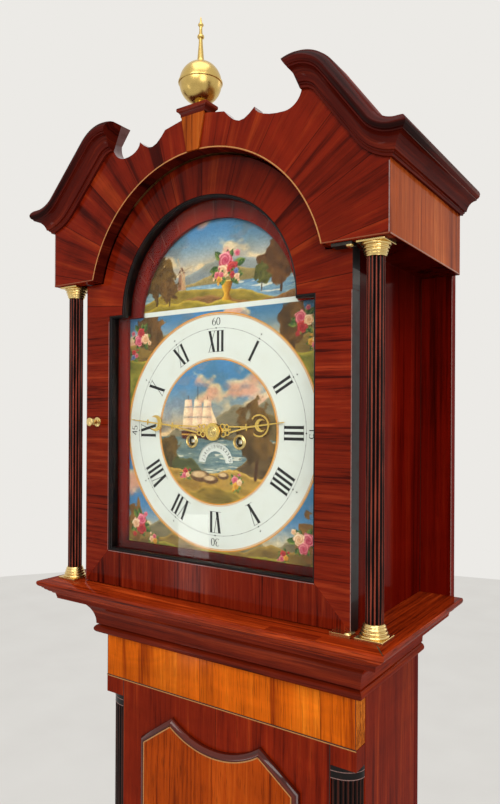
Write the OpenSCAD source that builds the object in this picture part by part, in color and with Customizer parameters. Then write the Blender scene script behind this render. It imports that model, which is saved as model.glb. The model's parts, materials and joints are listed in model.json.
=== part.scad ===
// Longcase clock with a break-arch hood, free-standing reeded columns and swan-neck horns.
// Millimetres, +Z up, front towards -Y, standing on z = 0 with the case centred on the origin.

/* [Case heights] */
// Height of the bracket feet
foot_h = 112; // [80:1:150]
// Height of the base box
base_h = 468; // [400:1:520]
// Height of the moulding between base and trunk
waist_h = 62; // [45:1:80]
// Height of the trunk between its two mouldings
trunk_h = 806; // [780:1:860]
// Height of the cove moulding that carries the hood
throat_h = 64; // [50:1:80]
// Height of the hood's bottom moulding
sill_h = 22; // [18:1:28]
// Height of the dial's foot above the sill
dial_lift = 58; // [54:1:62]
// Height of the fascia's corners above the centre of its arch
corner_up = 43.6; // [38:0.1:54]
// Drop of the cornice's foot below the top of the fascia's arch
cornice_drop = 67.9; // [60:0.1:80]
// Height of the cornice and horn moulding
cornice_h = 36; // [30:1:42]

/* [Case widths] */
// How far the hood's side boards stand outside the dial's edge
side_reach = 52.5; // [50:0.5:55]
// How far the fascia oversails the hood's side boards
fascia_reach = 55; // [52:0.5:58]
// How far the hood's bottom moulding oversails the side boards
sill_reach = 61.5; // [58:0.5:68]
// How far the trunk stands inside the hood's side boards
trunk_slip = 6.8; // [5:0.1:8]
// How far the base stands out beside the trunk
base_reach = 51.3; // [40:0.1:60]

/* [Case depths] */
// Depth of the hood from its fascia to the backboard
hood_d = 250; // [240:1:275]
// How far the trunk stands behind the fascia
trunk_setback = 54.5; // [50:0.5:60]
// How far the base stands behind the fascia
base_setback = 2; // [0:1:20]
// How far the cornice stands out from the fascia
cornice_out = 27; // [22:1:32]
// How far the hood's bottom moulding stands out from the fascia
sill_out = 26.6; // [22:0.2:30]
// How far the moulding below the trunk stands out from the base
waist_out = 8; // [4:1:14]

/* [Boards] */
// Thickness of the case boards
board_t = 18; // [15:1:20]
// Thickness of the trunk's front frame
frame_t = 20; // [16:1:22]
// Thickness of the backboard
back_t = 14; // [10:1:18]
// Thickness of the hood's side boards and roof
hood_t = 12; // [9:1:14]
// Gap between parts that slide or swing past each other
gap = 2; // [1:0.5:3]

/* [Hood arch and crest] */
// Height of the fascia arch's centre above the dial's shoulders
arch_step = 7; // [4:1:10]
// Width of the door's arched head between the glass and the fascia
head_w = 46.1; // [43:0.1:50]
// Half width of the keystone at its top
key_top = 19; // [15:1:24]
// Half width of the keystone at the arch
key_foot = 10; // [7:1:14]
// Height of the keystone's top above the fascia's arch
key_rise = 47.5; // [40:0.5:52]
// Height of the moulded cap on the keystone
cap_h = 12; // [8:1:14]
// Height of the finial
finial_h = 123; // [105:1:130]
// Radius of the finial's ball
ball_r = 28; // [22:1:30]

/* [Horns] */
// How far the right horn's peak stands inside the fascia's end
peak_in_right = 108.5; // [98:0.5:112]
// How far the left horn's peak stands inside the fascia's end
peak_in_left = 124.5; // [98:0.5:142]
// How far the right horn's tip stands inside its peak
tip_in_right = 18.5; // [12:0.5:21]
// How far the left horn's tip stands inside its peak
tip_in_left = 16.5; // [12:0.5:21]
// Slope of the right horn in degrees
slope_right = 53; // [48:1:56]
// Slope of the left horn in degrees
slope_left = 46; // [44:1:54]
// Radius of the right horn's foot
foot_r_right = 30; // [24:1:36]
// Radius of the left horn's foot
foot_r_left = 46; // [30:1:52]
// Rise of the right horn above the cornice
rise_right = 104; // [85:0.5:108]
// Rise of the left horn above the cornice
rise_left = 99.5; // [85:0.5:108]
// Radius of each horn's crown
crown_r = 58; // [56:1:70]

/* [Columns] */
// How far the columns' centres stand outside the hood's side boards
column_out = 30; // [28:0.5:32]
// Distance of the column centres behind the fascia's face
column_y = 21; // [19:1:23]
// Radius of the reeded shafts
shaft_r = 10.6; // [9:0.1:12]
// Half width of the brass plinths and abacuses
plinth_r = 17.2; // [15:0.1:17.6]
// Height of a brass base or capital
brass_h = 18; // [14:1:22]
// Number of reeds on a hood column
reeds = 14; // [10:1:18]
// Number of reeds on a quarter column in the trunk's corner
quarter_reeds = 8; // [6:1:10]

/* [Hood door] */
// Distance of the door's face behind the fascia's face
door_setback = 18; // [16:1:20]
// Thickness of the door
door_t = 20; // [17:1:20]
// How far the glazed opening reaches outside the dial's edge
sight_out = 7; // [3:1:11]
// How far the opening reaches below the dial's foot
sight_low = 6; // [3:1:9]
// How much larger the opening's arch is than the dial's
sight_arch = 8.4; // [4:0.2:12]
// Thickness of the glass
glass_t = 3; // [2:0.5:4]
// Width of the black bead round the glass
bead_w = 3.5; // [2:0.5:5]
// How far the pivots stand outside the hood's side boards
pivot_out = 4.5; // [3.5:0.5:6]
// Distance of the pivots behind the fascia's face
pivot_y = 6; // [4:0.5:7]
// Radius of the pivot pins
pin_r = 2.5; // [2:0.1:3]

/* [Dial] */
// Distance of the dial's face behind the fascia's face
dial_setback = 51.8; // [51:0.2:54]
// Half width of the dial plate
dial_w = 165; // [162:1:167]
// Thickness of the dial plate
dial_t = 2; // [1.5:0.1:2.5]
// How much farther the dial reaches down from its centre than sideways
dial_foot = 5; // [3:1:9]
// How much farther the dial reaches up to its shoulders than sideways
dial_head = 3; // [1:1:5]
// Drop of the dial arch's centre below the dial's shoulders
arch_sink = 10.5; // [8:0.5:13]
// How much smaller the dial arch's radius is than the dial's half width
arch_in = 27; // [23:1:31]
// How far the mask laps over the dial's edge
mask_lap = 5; // [3:1:8]
// Thickness of the mask
mask_t = 6; // [4:0.5:7]
// How far the minute hand's tip stays inside the dial's edge
minute_in = 13; // [11:1:25]
// How much shorter the hour hand is than the minute hand
hour_in = 39; // [34:1:52]
// Distance of each winding hole from the middle
wind_x = 40.7; // [39.5:0.1:41.5]
// Depth of the winding holes below the dial centre
wind_down = 13.3; // [12.5:0.1:14]
// Depth of the calendar's centre below the dial centre
calendar_down = 43.8; // [42:0.1:45]
// Outer radius of the calendar opening
calendar_r = 29.5; // [28:0.5:30]
// Inner radius of the calendar opening
calendar_in = 17.2; // [16:0.2:18]

/* [Trunk door] */
// Width of the trunk's front beside its door
stile_w = 76.2; // [73:0.1:80]
// Drop of the door's cusps below the trunk's top
tdoor_drop = 97; // [92:1:100]
// How far the cusps stand inside the door's edges
cusp_in = 59.5; // [55:0.5:64]
// Drop of the door's shoulders below its cusps
shoulder_drop = 42; // [36:1:48]
// Radius of the concave arch between the cusps
tarch_r = 125.6; // [118:0.2:140]
// Height of the door's foot above the waist moulding
tdoor_foot = 66; // [50:1:80]
// Width of the lip that overlaps the frame
lip_w = 12; // [9:1:14]
// Thickness of the lip
lip_t = 9; // [7:1:10]
// Thickness of the door behind the lip
plug_t = 13; // [10:1:14]
// Height of the frieze across the top of the trunk
frieze_h = 65; // [58:1:70]
// Height of the blocks above and below the corner columns
block_h = 26; // [20:1:32]
// Width of the corner recesses
recess_w = 34.7; // [30:0.1:38]
// Depth of the corner recesses
recess_d = 26; // [24:1:30]

/* [Movement] */
// Half width of the brass plates
plate_w = 76; // [74:1:80]
// Height of the plates above the dial centre
plate_up = 80; // [78:1:84]
// Depth of the plates below the dial centre
plate_down = 92; // [88:1:98]
// Thickness of each plate
plate_t = 3; // [2.5:0.1:3.5]
// Distance of the front plate behind the dial's face
plate_gap = 32; // [31:0.5:34]
// Distance between the plates
frame_gap = 60; // [60:0.5:62]
// Radius of the line drums
drum_r = 23; // [20:0.5:24]
// Radius of the wheel arbors
arbor_r = 1.2; // [1:0.05:1.25]
// Radius of the escape wheel
escape_r = 19; // [17:0.5:19.5]
// Height of the pallet arbor above the dial centre
pallet_up = 66; // [65:0.5:68]
// Length from the suspension to the bob's centre
pendulum_len = 994; // [960:1:1000]
// Radius of the pendulum bob
bob_r = 56; // [45:1:62]
// Radius of the bell's mouth
bell_r = 50; // [45:1:51]
// Radius of a driving weight
weight_r = 30; // [26:1:32]
// Height of a driving weight
weight_h = 205; // [180:1:230]
// Radius of a weight's pulley
pulley_r = 20; // [17:1:22]
// Drop of the pulleys below the seat at rest
pulley_drop = 60; // [50:1:80]
// Radius of the gut lines
gut_r = 0.8; // [0.6:0.1:1]
// Half width of the false plate
false_w = 110; // [106:1:116]
// Height of the false plate
false_h = 150; // [146:1:156]
// Width of the false plate's sides
false_side = 38; // [34:1:38]
// Height of the false plate's top and foot
false_bar = 20; // [18:1:24]
// Distance of the dial's feet inside the false plate's edges
foot_in = 10; // [8:1:12]
// Thickness of the false plate
false_t = 3; // [2:0.5:4]
// Drop of the false plate's middle below the dial's centre
false_drop = 5; // [2:1:8]

/* [Hidden] */

fine = 96;
eps = 0.01;
soft_gap = 0.3;
run_gap = 0.05;

// Half widths and radii that follow from the dial.
side_x = dial_w + side_reach;
fascia_x = side_x + fascia_reach;
trunk_x = side_x - trunk_slip;
base_x = trunk_x + base_reach;
sill_x = side_x + sill_reach;
column_x = side_x + column_out;
pivot_x = side_x + pivot_out;
sight_w = dial_w + sight_out;
mask_w = dial_w - mask_lap;
tdoor_w = trunk_x - stile_w;
cusp_x = tdoor_w - cusp_in;
dial_arch_r = dial_w - arch_in;
sight_r = dial_arch_r + sight_arch;
arch_r = sight_r + head_w;
minute_len = dial_w - minute_in;
hour_len = minute_len - hour_in;

// Heights above or below the dial's centre.
dial_down = dial_w + dial_foot;
dial_up = dial_w + dial_head;
dial_rise = dial_down + dial_lift;
dial_arch_up = dial_up - arch_sink;
sight_down = dial_down + sight_low;
sight_up = dial_up;
arch_up = dial_up + arch_step;
arch_top = arch_up + arch_r;
key_up = arch_top + key_rise;
column_h = dial_rise + arch_up + corner_up;

// Heights of the joints between the case's stages.
base_z = foot_h;
waist_z = base_z + base_h;
trunk_z = waist_z + waist_h;
throat_z = trunk_z + trunk_h;
sill_z = throat_z + throat_h;
hood_z = sill_z + sill_h;
fascia_z = hood_z + column_h;
dial_z = hood_z + dial_rise;
cornice_z = dial_z + arch_top - cornice_drop;
top_z = cornice_z + cornice_h;

// Planes from front to back.
face_y = cornice_out - (cornice_out + hood_d + back_t) / 2;
back_y = face_y + hood_d;
trunk_y = face_y + trunk_setback;
base_y = face_y + base_setback;
door_y = face_y + door_setback;
dial_y = face_y + dial_setback;
mask_y = dial_y - 1.8 - mask_t;
plate_y = dial_y + plate_gap;
rear_y = plate_y + plate_t + frame_gap;
cock_y = rear_y + plate_t + 17;
swing_y = cock_y + 9;

// Half widths.
front_x = trunk_x - recess_w;
cheek_x = trunk_x - board_t;
seat_z = dial_z - plate_down;
seat_t = 22;

// Basic shapes.
module block(x0, x1, y0, y1, z0, z1) {
    translate([x0, y0, z0]) cube([x1 - x0, y1 - y0, z1 - z0]);
}

module both() {
    for (s = [0, 1]) mirror([s, 0, 0]) children();
}

// A flat shape drawn in x and z, from y0 back to y1.
module slab(y0, y1) {
    translate([0, y1, 0]) rotate([90, 0, 0]) linear_extrude(y1 - y0) children();
}

// A round bar along y from y0 to y1 at x, z.
module bar(x, z, r, y0, y1) {
    translate([x, y1, z]) rotate([90, 0, 0]) cylinder(h = y1 - y0, r = r, $fn = fine);
}

function arc(cx, cy, r, a0, a1, n) =
    [for (i = [0:n]) [cx + r * cos(a0 + (a1 - a0) * i / n), cy + r * sin(a0 + (a1 - a0) * i / n)]];

function flip(points) = [for (i = [len(points) - 1:-1:0]) [-points[i][0], points[i][1]]];

// A closed skin through rings that all have the same number of points.
module skin(rings) {
    n = len(rings[0]);
    m = len(rings);
    sides = [for (i = [0:m - 2], j = [0:n - 1])
        [i * n + j, i * n + (j + 1) % n, (i + 1) * n + (j + 1) % n, (i + 1) * n + j]];
    ends = [[for (j = [n - 1:-1:0]) j], [for (j = [0:n - 1]) (m - 1) * n + j]];
    polyhedron([for (r = rings) each r], concat(sides, ends), convexity = 10);
}

// A mitred moulding round the front and both sides. Each profile point is [out, z], where out runs
// from 0 at half width x0 and plane y0 to 1 at x0 + dx and y0 - dy.
module round_moulding(profile, x0, dx, y0, dy, y_end) {
    skin([
        [for (p = profile) [-x0 - dx * p[0], y_end, p[1]]],
        [for (p = profile) [-x0 - dx * p[0], y0 - dy * p[0], p[1]]],
        [for (p = profile) [x0 + dx * p[0], y0 - dy * p[0], p[1]]],
        [for (p = profile) [x0 + dx * p[0], y_end, p[1]]]
    ]);
}

// The edge of a reeded round from angle a0 to a1: n reeds on an oval of half widths rx and ry.
function reeded(rx, ry, a0, a1, n, depth) =
    [for (i = [0:n - 1], j = [0:4])
        let (a = a0 + (a1 - a0) * (i + j / 5) / n, q = depth * (1 - sin(36 * j)))
            [(rx - q) * cos(a), (ry - q) * sin(a)]];

// The outline of a rectangle with an arch on its shoulders, drawn in x and height.
function break_arch(w, foot, shoulder, centre, r) =
    let (a = asin((shoulder - centre) / r))
    concat([[-w, foot], [w, foot], [w, shoulder]], arc(0, centre, r, a, 180 - a, 40), [[-w, shoulder]]);

// A toothed wheel of n teeth of module m, with one tooth centred on the angle turn.
module toothed(n, m, turn, hole = 0) {
    pitch = 360 / n;
    r = n * m / 2;
    difference() {
        polygon([for (i = [0:n - 1], k = [[-0.3, -1.3], [-0.15, 0.8], [0.15, 0.8], [0.3, -1.3]])
            let (a = turn + pitch * (i + k[0] / 1.0)) (r + m * k[1]) * [cos(a), sin(a)]]);
        if (hole > 0) circle(r = hole, $fn = fine);
    }
}

// A crossed-out train wheel with four arms, drawn in x and z.
module train_wheel(n, m, turn, hub, hole) {
    r = n * m / 2;
    difference() {
        toothed(n, m, turn);
        difference() {
            circle(r = r - 4.5 * m - 1, $fn = fine);
            circle(r = hub, $fn = fine);
            for (i = [0:3]) rotate(45 + 90 * i) translate([0, -1.3]) square([r, 2.6]);
        }
        circle(r = hole, $fn = fine);
    }
}

module place(x, z) {
    translate([x, 0, dial_z + z]) children();
}

// Case
module backboard() {
    color("saddlebrown") slab(back_y, back_y + back_t) {
        translate([-base_x, 0]) square([2 * base_x, waist_z]);
        translate([-trunk_x, waist_z]) square([2 * trunk_x, sill_z - waist_z]);
        translate([-fascia_x + 10, sill_z]) square([2 * fascia_x - 20, top_z - hood_t - gap - sill_z]);
        translate([0, dial_z + arch_up]) circle(r = arch_r + 3, $fn = fine);
    }
}

post_x = front_x - frame_t;

module trunk_sides() {
    color("sienna") both() {
        block(cheek_x, trunk_x, trunk_y + recess_d, back_y, trunk_z - waist_h, throat_z + throat_h);
        block(cheek_x - board_t, cheek_x, trunk_y + recess_d + board_t, back_y - 60,
            throat_z - 110, seat_z - seat_t);
    }
}

// The trunk door's outline: straight sides, sloping shoulders and a hollow arch between two cusps.
cusp_z = throat_z - tdoor_drop;
shoulder_z = cusp_z - shoulder_drop;
tdoor_z = trunk_z + tdoor_foot;
tarch_z = cusp_z + sqrt(tarch_r * tarch_r - cusp_x * cusp_x);
tarch_a = acos(cusp_x / tarch_r);

module tdoor_shape(inset) {
    offset(delta = -inset) polygon(concat(
        [[-tdoor_w, tdoor_z], [tdoor_w, tdoor_z], [tdoor_w, shoulder_z], [cusp_x, cusp_z]],
        arc(0, tarch_z, tarch_r, -tarch_a - 4, tarch_a - 176, 22),
        [[-cusp_x, cusp_z], [-tdoor_w, shoulder_z]]));
}

module trunk_front() {
    rail_z = throat_z - frieze_h;
    color("brown") {
        slab(trunk_y, trunk_y + frame_t) difference() {
            translate([-front_x, trunk_z]) square([2 * front_x, rail_z - trunk_z]);
            tdoor_shape(lip_w);
        }
        both() {
            block(post_x, front_x, trunk_y + frame_t, trunk_y + recess_d + board_t,
                trunk_z, throat_z - frieze_h);
            block(front_x, cheek_x, trunk_y + recess_d, trunk_y + recess_d + board_t,
                trunk_z, throat_z - frieze_h);
            block(front_x, trunk_x, trunk_y, trunk_y + recess_d, rail_z - block_h, rail_z);
            block(front_x, trunk_x, trunk_y, trunk_y + recess_d, trunk_z, trunk_z + block_h);
        }
    }
}

module frieze() {
    z0 = throat_z - frieze_h;
    color("goldenrod") {
        block(-trunk_x, trunk_x, trunk_y, trunk_y + frame_t, z0, throat_z);
        both() block(front_x, trunk_x, trunk_y + frame_t - eps, trunk_y + recess_d, z0, throat_z);
    }
}

module quarter_columns() {
    z0 = trunk_z + block_h;
    z1 = throat_z - frieze_h - block_h;
    rx = recess_w - 1;
    ry = recess_d - 0.5;
    collar = 16;
    color("black") both() translate([front_x, trunk_y + recess_d, z0]) {
        linear_extrude(z1 - z0)
            polygon(concat([[0, 0]], reeded(rx, ry, -90, 0, quarter_reeds, 1.6), [[rx - 1.6, 0]]));
        for (z = [0, z1 - z0 - collar]) translate([0, 0, z]) linear_extrude(collar)
            polygon(concat([[0, 0]], reeded(rx, ry, -90, 0, quarter_reeds, 0), [[rx, 0]]));
    }
}

// The cove that carries the hood: out 0 is the trunk and out 1 the hood's sill.
throat_dx = sill_x - trunk_x;
throat_dy = trunk_setback + sill_out;
cove_top = 0.71;
cove_foot = 0.16;
bead_h = 14;

module throat_moulding() {
    fillet = 6;
    rise = throat_h - bead_h - fillet;
    half = bead_h / 2;
    color("maroon") round_moulding(concat(
        [[0, sill_z], [0, throat_z]],
        [for (a = [-90:30:90]) [0.05 + 0.14 * cos(a), throat_z + half + half * sin(a)]],
        [for (i = [0:8]) let (a = 90 * i / 8)
            [cove_top - (cove_top - cove_foot) * cos(a), throat_z + bead_h + rise * sin(a)]],
        [[cove_top, sill_z]]),
        trunk_x, throat_dx, trunk_y, throat_dy, back_y);
}

module waist_moulding() {
    edge = 1 + waist_out / (trunk_setback - base_setback);
    lip = 10;
    bead = 12;
    rise = waist_h - lip - bead;
    color("maroon") round_moulding(concat(
        [[0, waist_z], [edge, waist_z], [edge, waist_z + lip]],
        [for (i = [0:8]) let (a = 90 * i / 8)
            [0.92 - 0.72 * sin(a), waist_z + lip + rise * (1 - cos(a))]],
        [[0.2, trunk_z - bead]],
        [for (a = [-60:30:90]) [0.04 + 0.2 * cos(a), trunk_z - bead / 2 + bead / 2 * sin(a)]],
        [[0, trunk_z]]),
        trunk_x, base_x - trunk_x, trunk_y, trunk_setback - base_setback, back_y);
}

panel_margin = 66;
panel_t = 6;

module base_front() {
    color("sienna") block(-base_x, base_x, base_y, base_y + board_t, base_z, waist_z);
    color("brown") block(-base_x + panel_margin, base_x - panel_margin, base_y - panel_t,
        base_y + eps, base_z + panel_margin, waist_z - panel_margin);
}

module base_boards() {
    color("sienna") both()
        block(base_x - board_t, base_x, base_y + board_t, back_y, base_z, waist_z);
    color("saddlebrown") block(-base_x + board_t, base_x - board_t, base_y + board_t, back_y,
        base_z, base_z + board_t);
}

foot_w = 118;
apron_h = 44;

// One face of the bracket feet: two feet joined by a shaped apron, drawn over the width w.
module bracket_shape(w) {
    half = w / 2;
    reach = min(foot_w, half - 30);
    polygon(concat(
        [[half, 0], [half, foot_h], [-half, foot_h], [-half, 0], [-half + reach * 0.62, 0]],
        arc(-half + reach * 0.62 + 30, foot_h - apron_h - 34, 30, 180, 90, 6),
        arc(-half + reach * 0.62 + 30, foot_h - apron_h + 4, 8, -90, 0, 3),
        arc(half - reach * 0.62 - 30, foot_h - apron_h + 4, 8, 180, 270, 3),
        arc(half - reach * 0.62 - 30, foot_h - apron_h - 34, 30, 90, 0, 6),
        [[half - reach * 0.62, 0]]));
}

module bracket_feet() {
    depth = back_y - base_y - frame_t;
    color("sienna") {
        slab(base_y, base_y + frame_t) bracket_shape(2 * base_x);
        both() translate([base_x - frame_t, base_y + frame_t + depth / 2, 0]) rotate([90, 0, 90])
            linear_extrude(frame_t) bracket_shape(depth);
    }
}

// Each line leaves the left of its drum, which turns anticlockwise as the weight falls.
loop_r = pulley_r + gut_r + 0.02;
line_dx = -(drum_r + gut_r + 0.1);
weight_dx = line_dx + loop_r;
tie_dx = weight_dx + loop_r;
drum_y0 = plate_y + plate_t + 8;
drum_len = 32;
drum_y1 = drum_y0 + drum_len;
weight_y = drum_y0 + drum_len / 2;

module seatboard() {
    color("burlywood") difference() {
        block(-cheek_x, cheek_x, plate_y - 12, rear_y + plate_t + 3, seat_z - seat_t, seat_z);
        for (x = [-wind_x, wind_x]) translate([x, 0, seat_z - seat_t - 1]) {
            block(line_dx - 5, line_dx + 5, drum_y0 - 2, drum_y1 + 2, 0, seat_t + 2);
            translate([tie_dx, weight_y, 0]) cylinder(h = seat_t + 2, r = 2, $fn = fine);
        }
    }
}

// Movement
great_n = 96;
centre_pinion = 8;
great_m = 2 * sqrt(wind_x * wind_x + wind_down * wind_down) / (great_n + centre_pinion);
mesh_a = atan2(-wind_down, wind_x);
centre_n = 60;
centre_m = 0.75;
third_pinion = 8;
third_a = 60;
third_d = (centre_n + third_pinion) * centre_m / 2;
third_x = third_d * cos(third_a);
third_up = third_d * sin(third_a);
third_n = 56;
third_m = 0.7;
escape_pinion = 7;
escape_d = (third_n + escape_pinion) * third_m / 2;
escape_up = third_up + sqrt(escape_d * escape_d - third_x * third_x);
escape_a = atan2(escape_up - third_up, -third_x);
escape_n = 30;
strike_n = 84;
strike_m = 0.8;
pin_pinion = 8;
pin_a = 70;
pin_d = (strike_n + pin_pinion) * strike_m / 2;
pin_x = -wind_x + pin_d * cos(pin_a);
pin_up = -wind_down + pin_d * sin(pin_a);
pin_n = 56;
pin_m = 0.7;
gather_pinion = 7;
gather_a = 126;
gather_d = (pin_n + gather_pinion) * pin_m / 2;
gather_x = pin_x + gather_d * cos(gather_a);
gather_up = pin_up + gather_d * sin(gather_a);
gather_n = 48;
gather_m = 0.65;
warn_pinion = 6;
warn_a = 62;
warn_d = (gather_n + warn_pinion) * gather_m / 2;
warn_x = gather_x + warn_d * cos(warn_a);
warn_up = gather_up + warn_d * sin(warn_a);
warn_n = 42;
warn_m = 0.6;
fly_pinion = 6;
fly_a = 120;
fly_d = (warn_n + fly_pinion) * warn_m / 2;
fly_x = warn_x + fly_d * cos(fly_a);
fly_up = warn_up + fly_d * sin(fly_a);
hammer_x = -54;
hammer_up = 24;
rack_x = -58;
rack_down = 45;
stud_r = 2;
motion_n = 36;
motion_m = 0.9;
minute_a = 120;
minute_d = motion_n * motion_m;
minute_x = minute_d * cos(minute_a);
minute_up = minute_d * sin(minute_a);
hour_n = 72;
hour_pinion = 6;
hour_m = 2 * minute_d / (hour_n + hour_pinion);

// Planes of the wheels between the plates, counted from the front plate's back.
inner_y = plate_y + plate_t;
third_y = inner_y + 2.5;
great_y = inner_y + 42;
pin_y = inner_y + 50.5;
centre_y = inner_y + 54;
escape_y = inner_y + 38;
gather_y = inner_y + 22;
warn_y = inner_y + 12;
wheel_t = 2;
pivot_r = arbor_r + run_gap;
square_r = 5;
square_hole = square_r + 2;

// Centres of the pivots that both plates share: x, height and radius of the arbor.
plate_pivots = [[0, 0], [third_x, third_up], [0, escape_up], [pin_x, pin_up], [gather_x, gather_up],
    [warn_x, warn_up], [fly_x, fly_up], [hammer_x, hammer_up]];

module plate_shape(drum_hole, pallet_hole) {
    difference() {
        translate([-plate_w, dial_z - plate_down]) square([2 * plate_w, plate_up + plate_down]);
        for (p = plate_pivots) translate([p[0], dial_z + p[1]]) circle(r = pivot_r, $fn = fine);
        for (s = [-1, 1]) translate([s * wind_x, dial_z - wind_down]) circle(r = drum_hole, $fn = fine);
        translate([0, dial_z + pallet_up]) circle(r = pallet_hole, $fn = fine);
    }
}

rack_y = plate_y - 15;

module front_plate() {
    color("gold") {
        slab(plate_y, plate_y + plate_t) plate_shape(square_r + run_gap, pivot_r);
        bar(rack_x, dial_z - rack_down, stud_r, rack_y - 2, plate_y + eps);
        bar(rack_x, dial_z - rack_down, stud_r + 2, rack_y + 2.3, plate_y + eps);
    }
}

pillar_x = plate_w - 5;

module back_plate() {
    color("gold") {
        slab(rear_y, rear_y + plate_t) plate_shape(square_r + run_gap, 7);
        for (s = [-1, 1], z = [-plate_down + 8, plate_up - 8])
            bar(s * pillar_x, dial_z + z, 4, inner_y, rear_y + eps);
    }
}

module back_cock() {
    z = dial_z + pallet_up;
    y0 = rear_y + plate_t;
    color("gold") {
        slab(cock_y, cock_y + 4) difference() {
            translate([-30, z - 10]) square([60, 20]);
            translate([0, z]) circle(r = pivot_r, $fn = fine);
        }
        both() block(22, 30, y0, cock_y, z - 10, z + 10);
        difference() {
            block(-10, 10, cock_y + 4 - eps, swing_y + 5, z + 3, z + 10);
            block(-5, 5, swing_y - 0.5, swing_y + 0.5, z + 2, z + 11);
        }
    }
}

bell_y = inner_y + 32;
bell_z = dial_z + plate_up + 12;
bell_t = 2.4;
bell_h = 40;
bell_post_x = 50;

module bell_stand() {
    z1 = bell_z + bell_h + soft_gap;
    y0 = rear_y + plate_t;
    color("silver") {
        block(bell_post_x - 4, bell_post_x + 4, y0, y0 + 4, dial_z + plate_up - 30, z1 + 4);
        block(bell_post_x - 4, bell_post_x + 4, bell_y - 4, y0, z1, z1 + 4);
        block(-4, bell_post_x - 4, bell_y - 4, bell_y + 4, z1, z1 + 4);
    }
}

module bell() {
    s = bell_h / bell_r;
    color("wheat") translate([0, bell_y, bell_z]) rotate_extrude($fn = fine) polygon(concat(
        [[bell_r, 0]],
        [for (i = [0:9]) [(bell_r - 3) * cos(9 * i), 3 + (bell_h - 3) * sin(9 * i)]],
        [[0, bell_h], [0, bell_h - bell_t]],
        [for (i = [9:-1:0]) [(bell_r - 3 - bell_t) * cos(9 * i), 3 + (bell_h - 3 - bell_t) * sin(9 * i)]],
        [[bell_r - bell_t - 1, 0]]));
}

false_y = dial_y + 12;

module false_plate() {
    color("dimgray") place(0, -false_drop) {
        slab(false_y, false_y + false_t) difference() {
            translate([-false_w, -false_h / 2]) square([2 * false_w, false_h]);
            translate([false_side - false_w, false_bar - false_h / 2])
                square([2 * (false_w - false_side), false_h - 2 * false_bar]);
        }
        for (s = [-1, 1], z = [-1, 1]) {
            bar(s * (false_w - foot_in), z * (false_h / 2 - foot_in), 3, dial_y + dial_t, false_y + eps);
            bar(s * (plate_w - 8), z * (false_h / 2 - foot_in), 3.5, false_y + false_t - eps, plate_y);
        }
    }
}

module dial_plate() {
    color("ivory") {
        translate([0, 0, dial_z]) slab(dial_y, dial_y + dial_t) difference() {
            polygon(break_arch(dial_w, -dial_down, dial_up, dial_arch_up, dial_arch_r));
            circle(r = 9, $fn = fine);
            for (s = [-1, 1]) translate([s * wind_x, -wind_down]) circle(r = square_hole, $fn = fine);
            translate([0, -calendar_down]) polygon(concat(
                arc(0, 0, calendar_r, 4, 176, 24), arc(0, 0, calendar_in, 176, 4, 18)));
        }
        bar(0, dial_z - calendar_down, stud_r, dial_y + dial_t - eps, dial_y + dial_t + 3);
    }
}

// A drum with its ratchet flange and winding square, at x on the left or right.
ratchet_n = 40;
key_w = 6.4;

module drum(x) {
    place(x, -wind_down) {
        block(-key_w / 2, key_w / 2, dial_y + 2, plate_y - 14 + eps, -key_w / 2, key_w / 2);
        bar(0, 0, square_r, plate_y - 14, drum_y0 + eps);
        bar(0, 0, drum_r, drum_y0, drum_y1);
        bar(0, 0, drum_r + 3, drum_y0, drum_y0 + 1.5);
        bar(0, 0, square_r, drum_y1 - eps, rear_y + plate_t);
        slab(drum_y1 - eps, drum_y1 + 1.5) toothed(ratchet_n, 2 * (drum_r + 1.2) / ratchet_n, 0);
    }
}

module going_drum() {
    color("gold") drum(wind_x);
}

// A great wheel runs loose on its drum's arbor, which the ratchet locks to it.
module great_wheel(x, n, m, turn) {
    place(x, -wind_down) slab(great_y, great_y + 2.5)
        train_wheel(n, m, turn, 14, square_r + run_gap);
}

module going_great_wheel() {
    color("gold") great_wheel(wind_x, great_n, great_m, mesh_a + 180);
}

module pinion(n, m, turn, y0, y1) {
    slab(y0, y1) toothed(n, m, turn);
}

module centre_wheel() {
    color("gold") place(0, 0) {
        bar(0, 0, arbor_r, minute_y - 3, rear_y + plate_t);
        pinion(centre_pinion, great_m, mesh_a + 180 / centre_pinion, great_y - 1, great_y + 3.5);
        slab(centre_y, centre_y + wheel_t) train_wheel(centre_n, centre_m, third_a, 6, arbor_r - 0.1);
    }
}

// Hands are drawn pointing up and turned to the time that they show.
minute_turn = 84;
hour_turn = -83;

module scroll_ring(x, y, r, w) {
    translate([x, y]) difference() {
        circle(r = r, $fn = 32);
        circle(r = r - w, $fn = 32);
    }
}

// How far a hand's outline stands outside its drawn lines.
hand_swell = 0.12;

// A pierced hand of length len: boss, two scrolls, cross, crescent and arrow.
module hand_shape(len, hole) {
    difference() {
        offset(delta = hand_swell) {
            circle(r = 12, $fn = fine);
            for (s = [-1, 1]) {
                scroll_ring(s * 5.2, 15.6, 4.2, 1.5);
                scroll_ring(s * 4.2, 22.6, 3.7, 1.4);
                polygon([[s * 3.2, 25], [s * 5, 26], [s * 1.6, len * 0.48], [0, len * 0.48]]);
            }
            translate([-1, 9]) square([2, 20]);
            polygon([[-1.3, len * 0.4], [1.3, len * 0.4], [0.5, len - 0.5], [-0.5, len - 0.5]]);
            translate([-4.5, len * 0.47]) square([9, 1.8]);
            translate([0, len * 0.68]) difference() {
                circle(r = len * 0.075, $fn = 48);
                translate([0, len * 0.03]) circle(r = len * 0.058, $fn = 48);
            }
            translate([-3.6, len * 0.78]) square([7.2, 1.6]);
        }
        circle(r = hole, $fn = fine);
    }
}

hour_y = dial_y - 4.6;
minute_y = hour_y - 3.4;
hand_t = 1.4;

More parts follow.
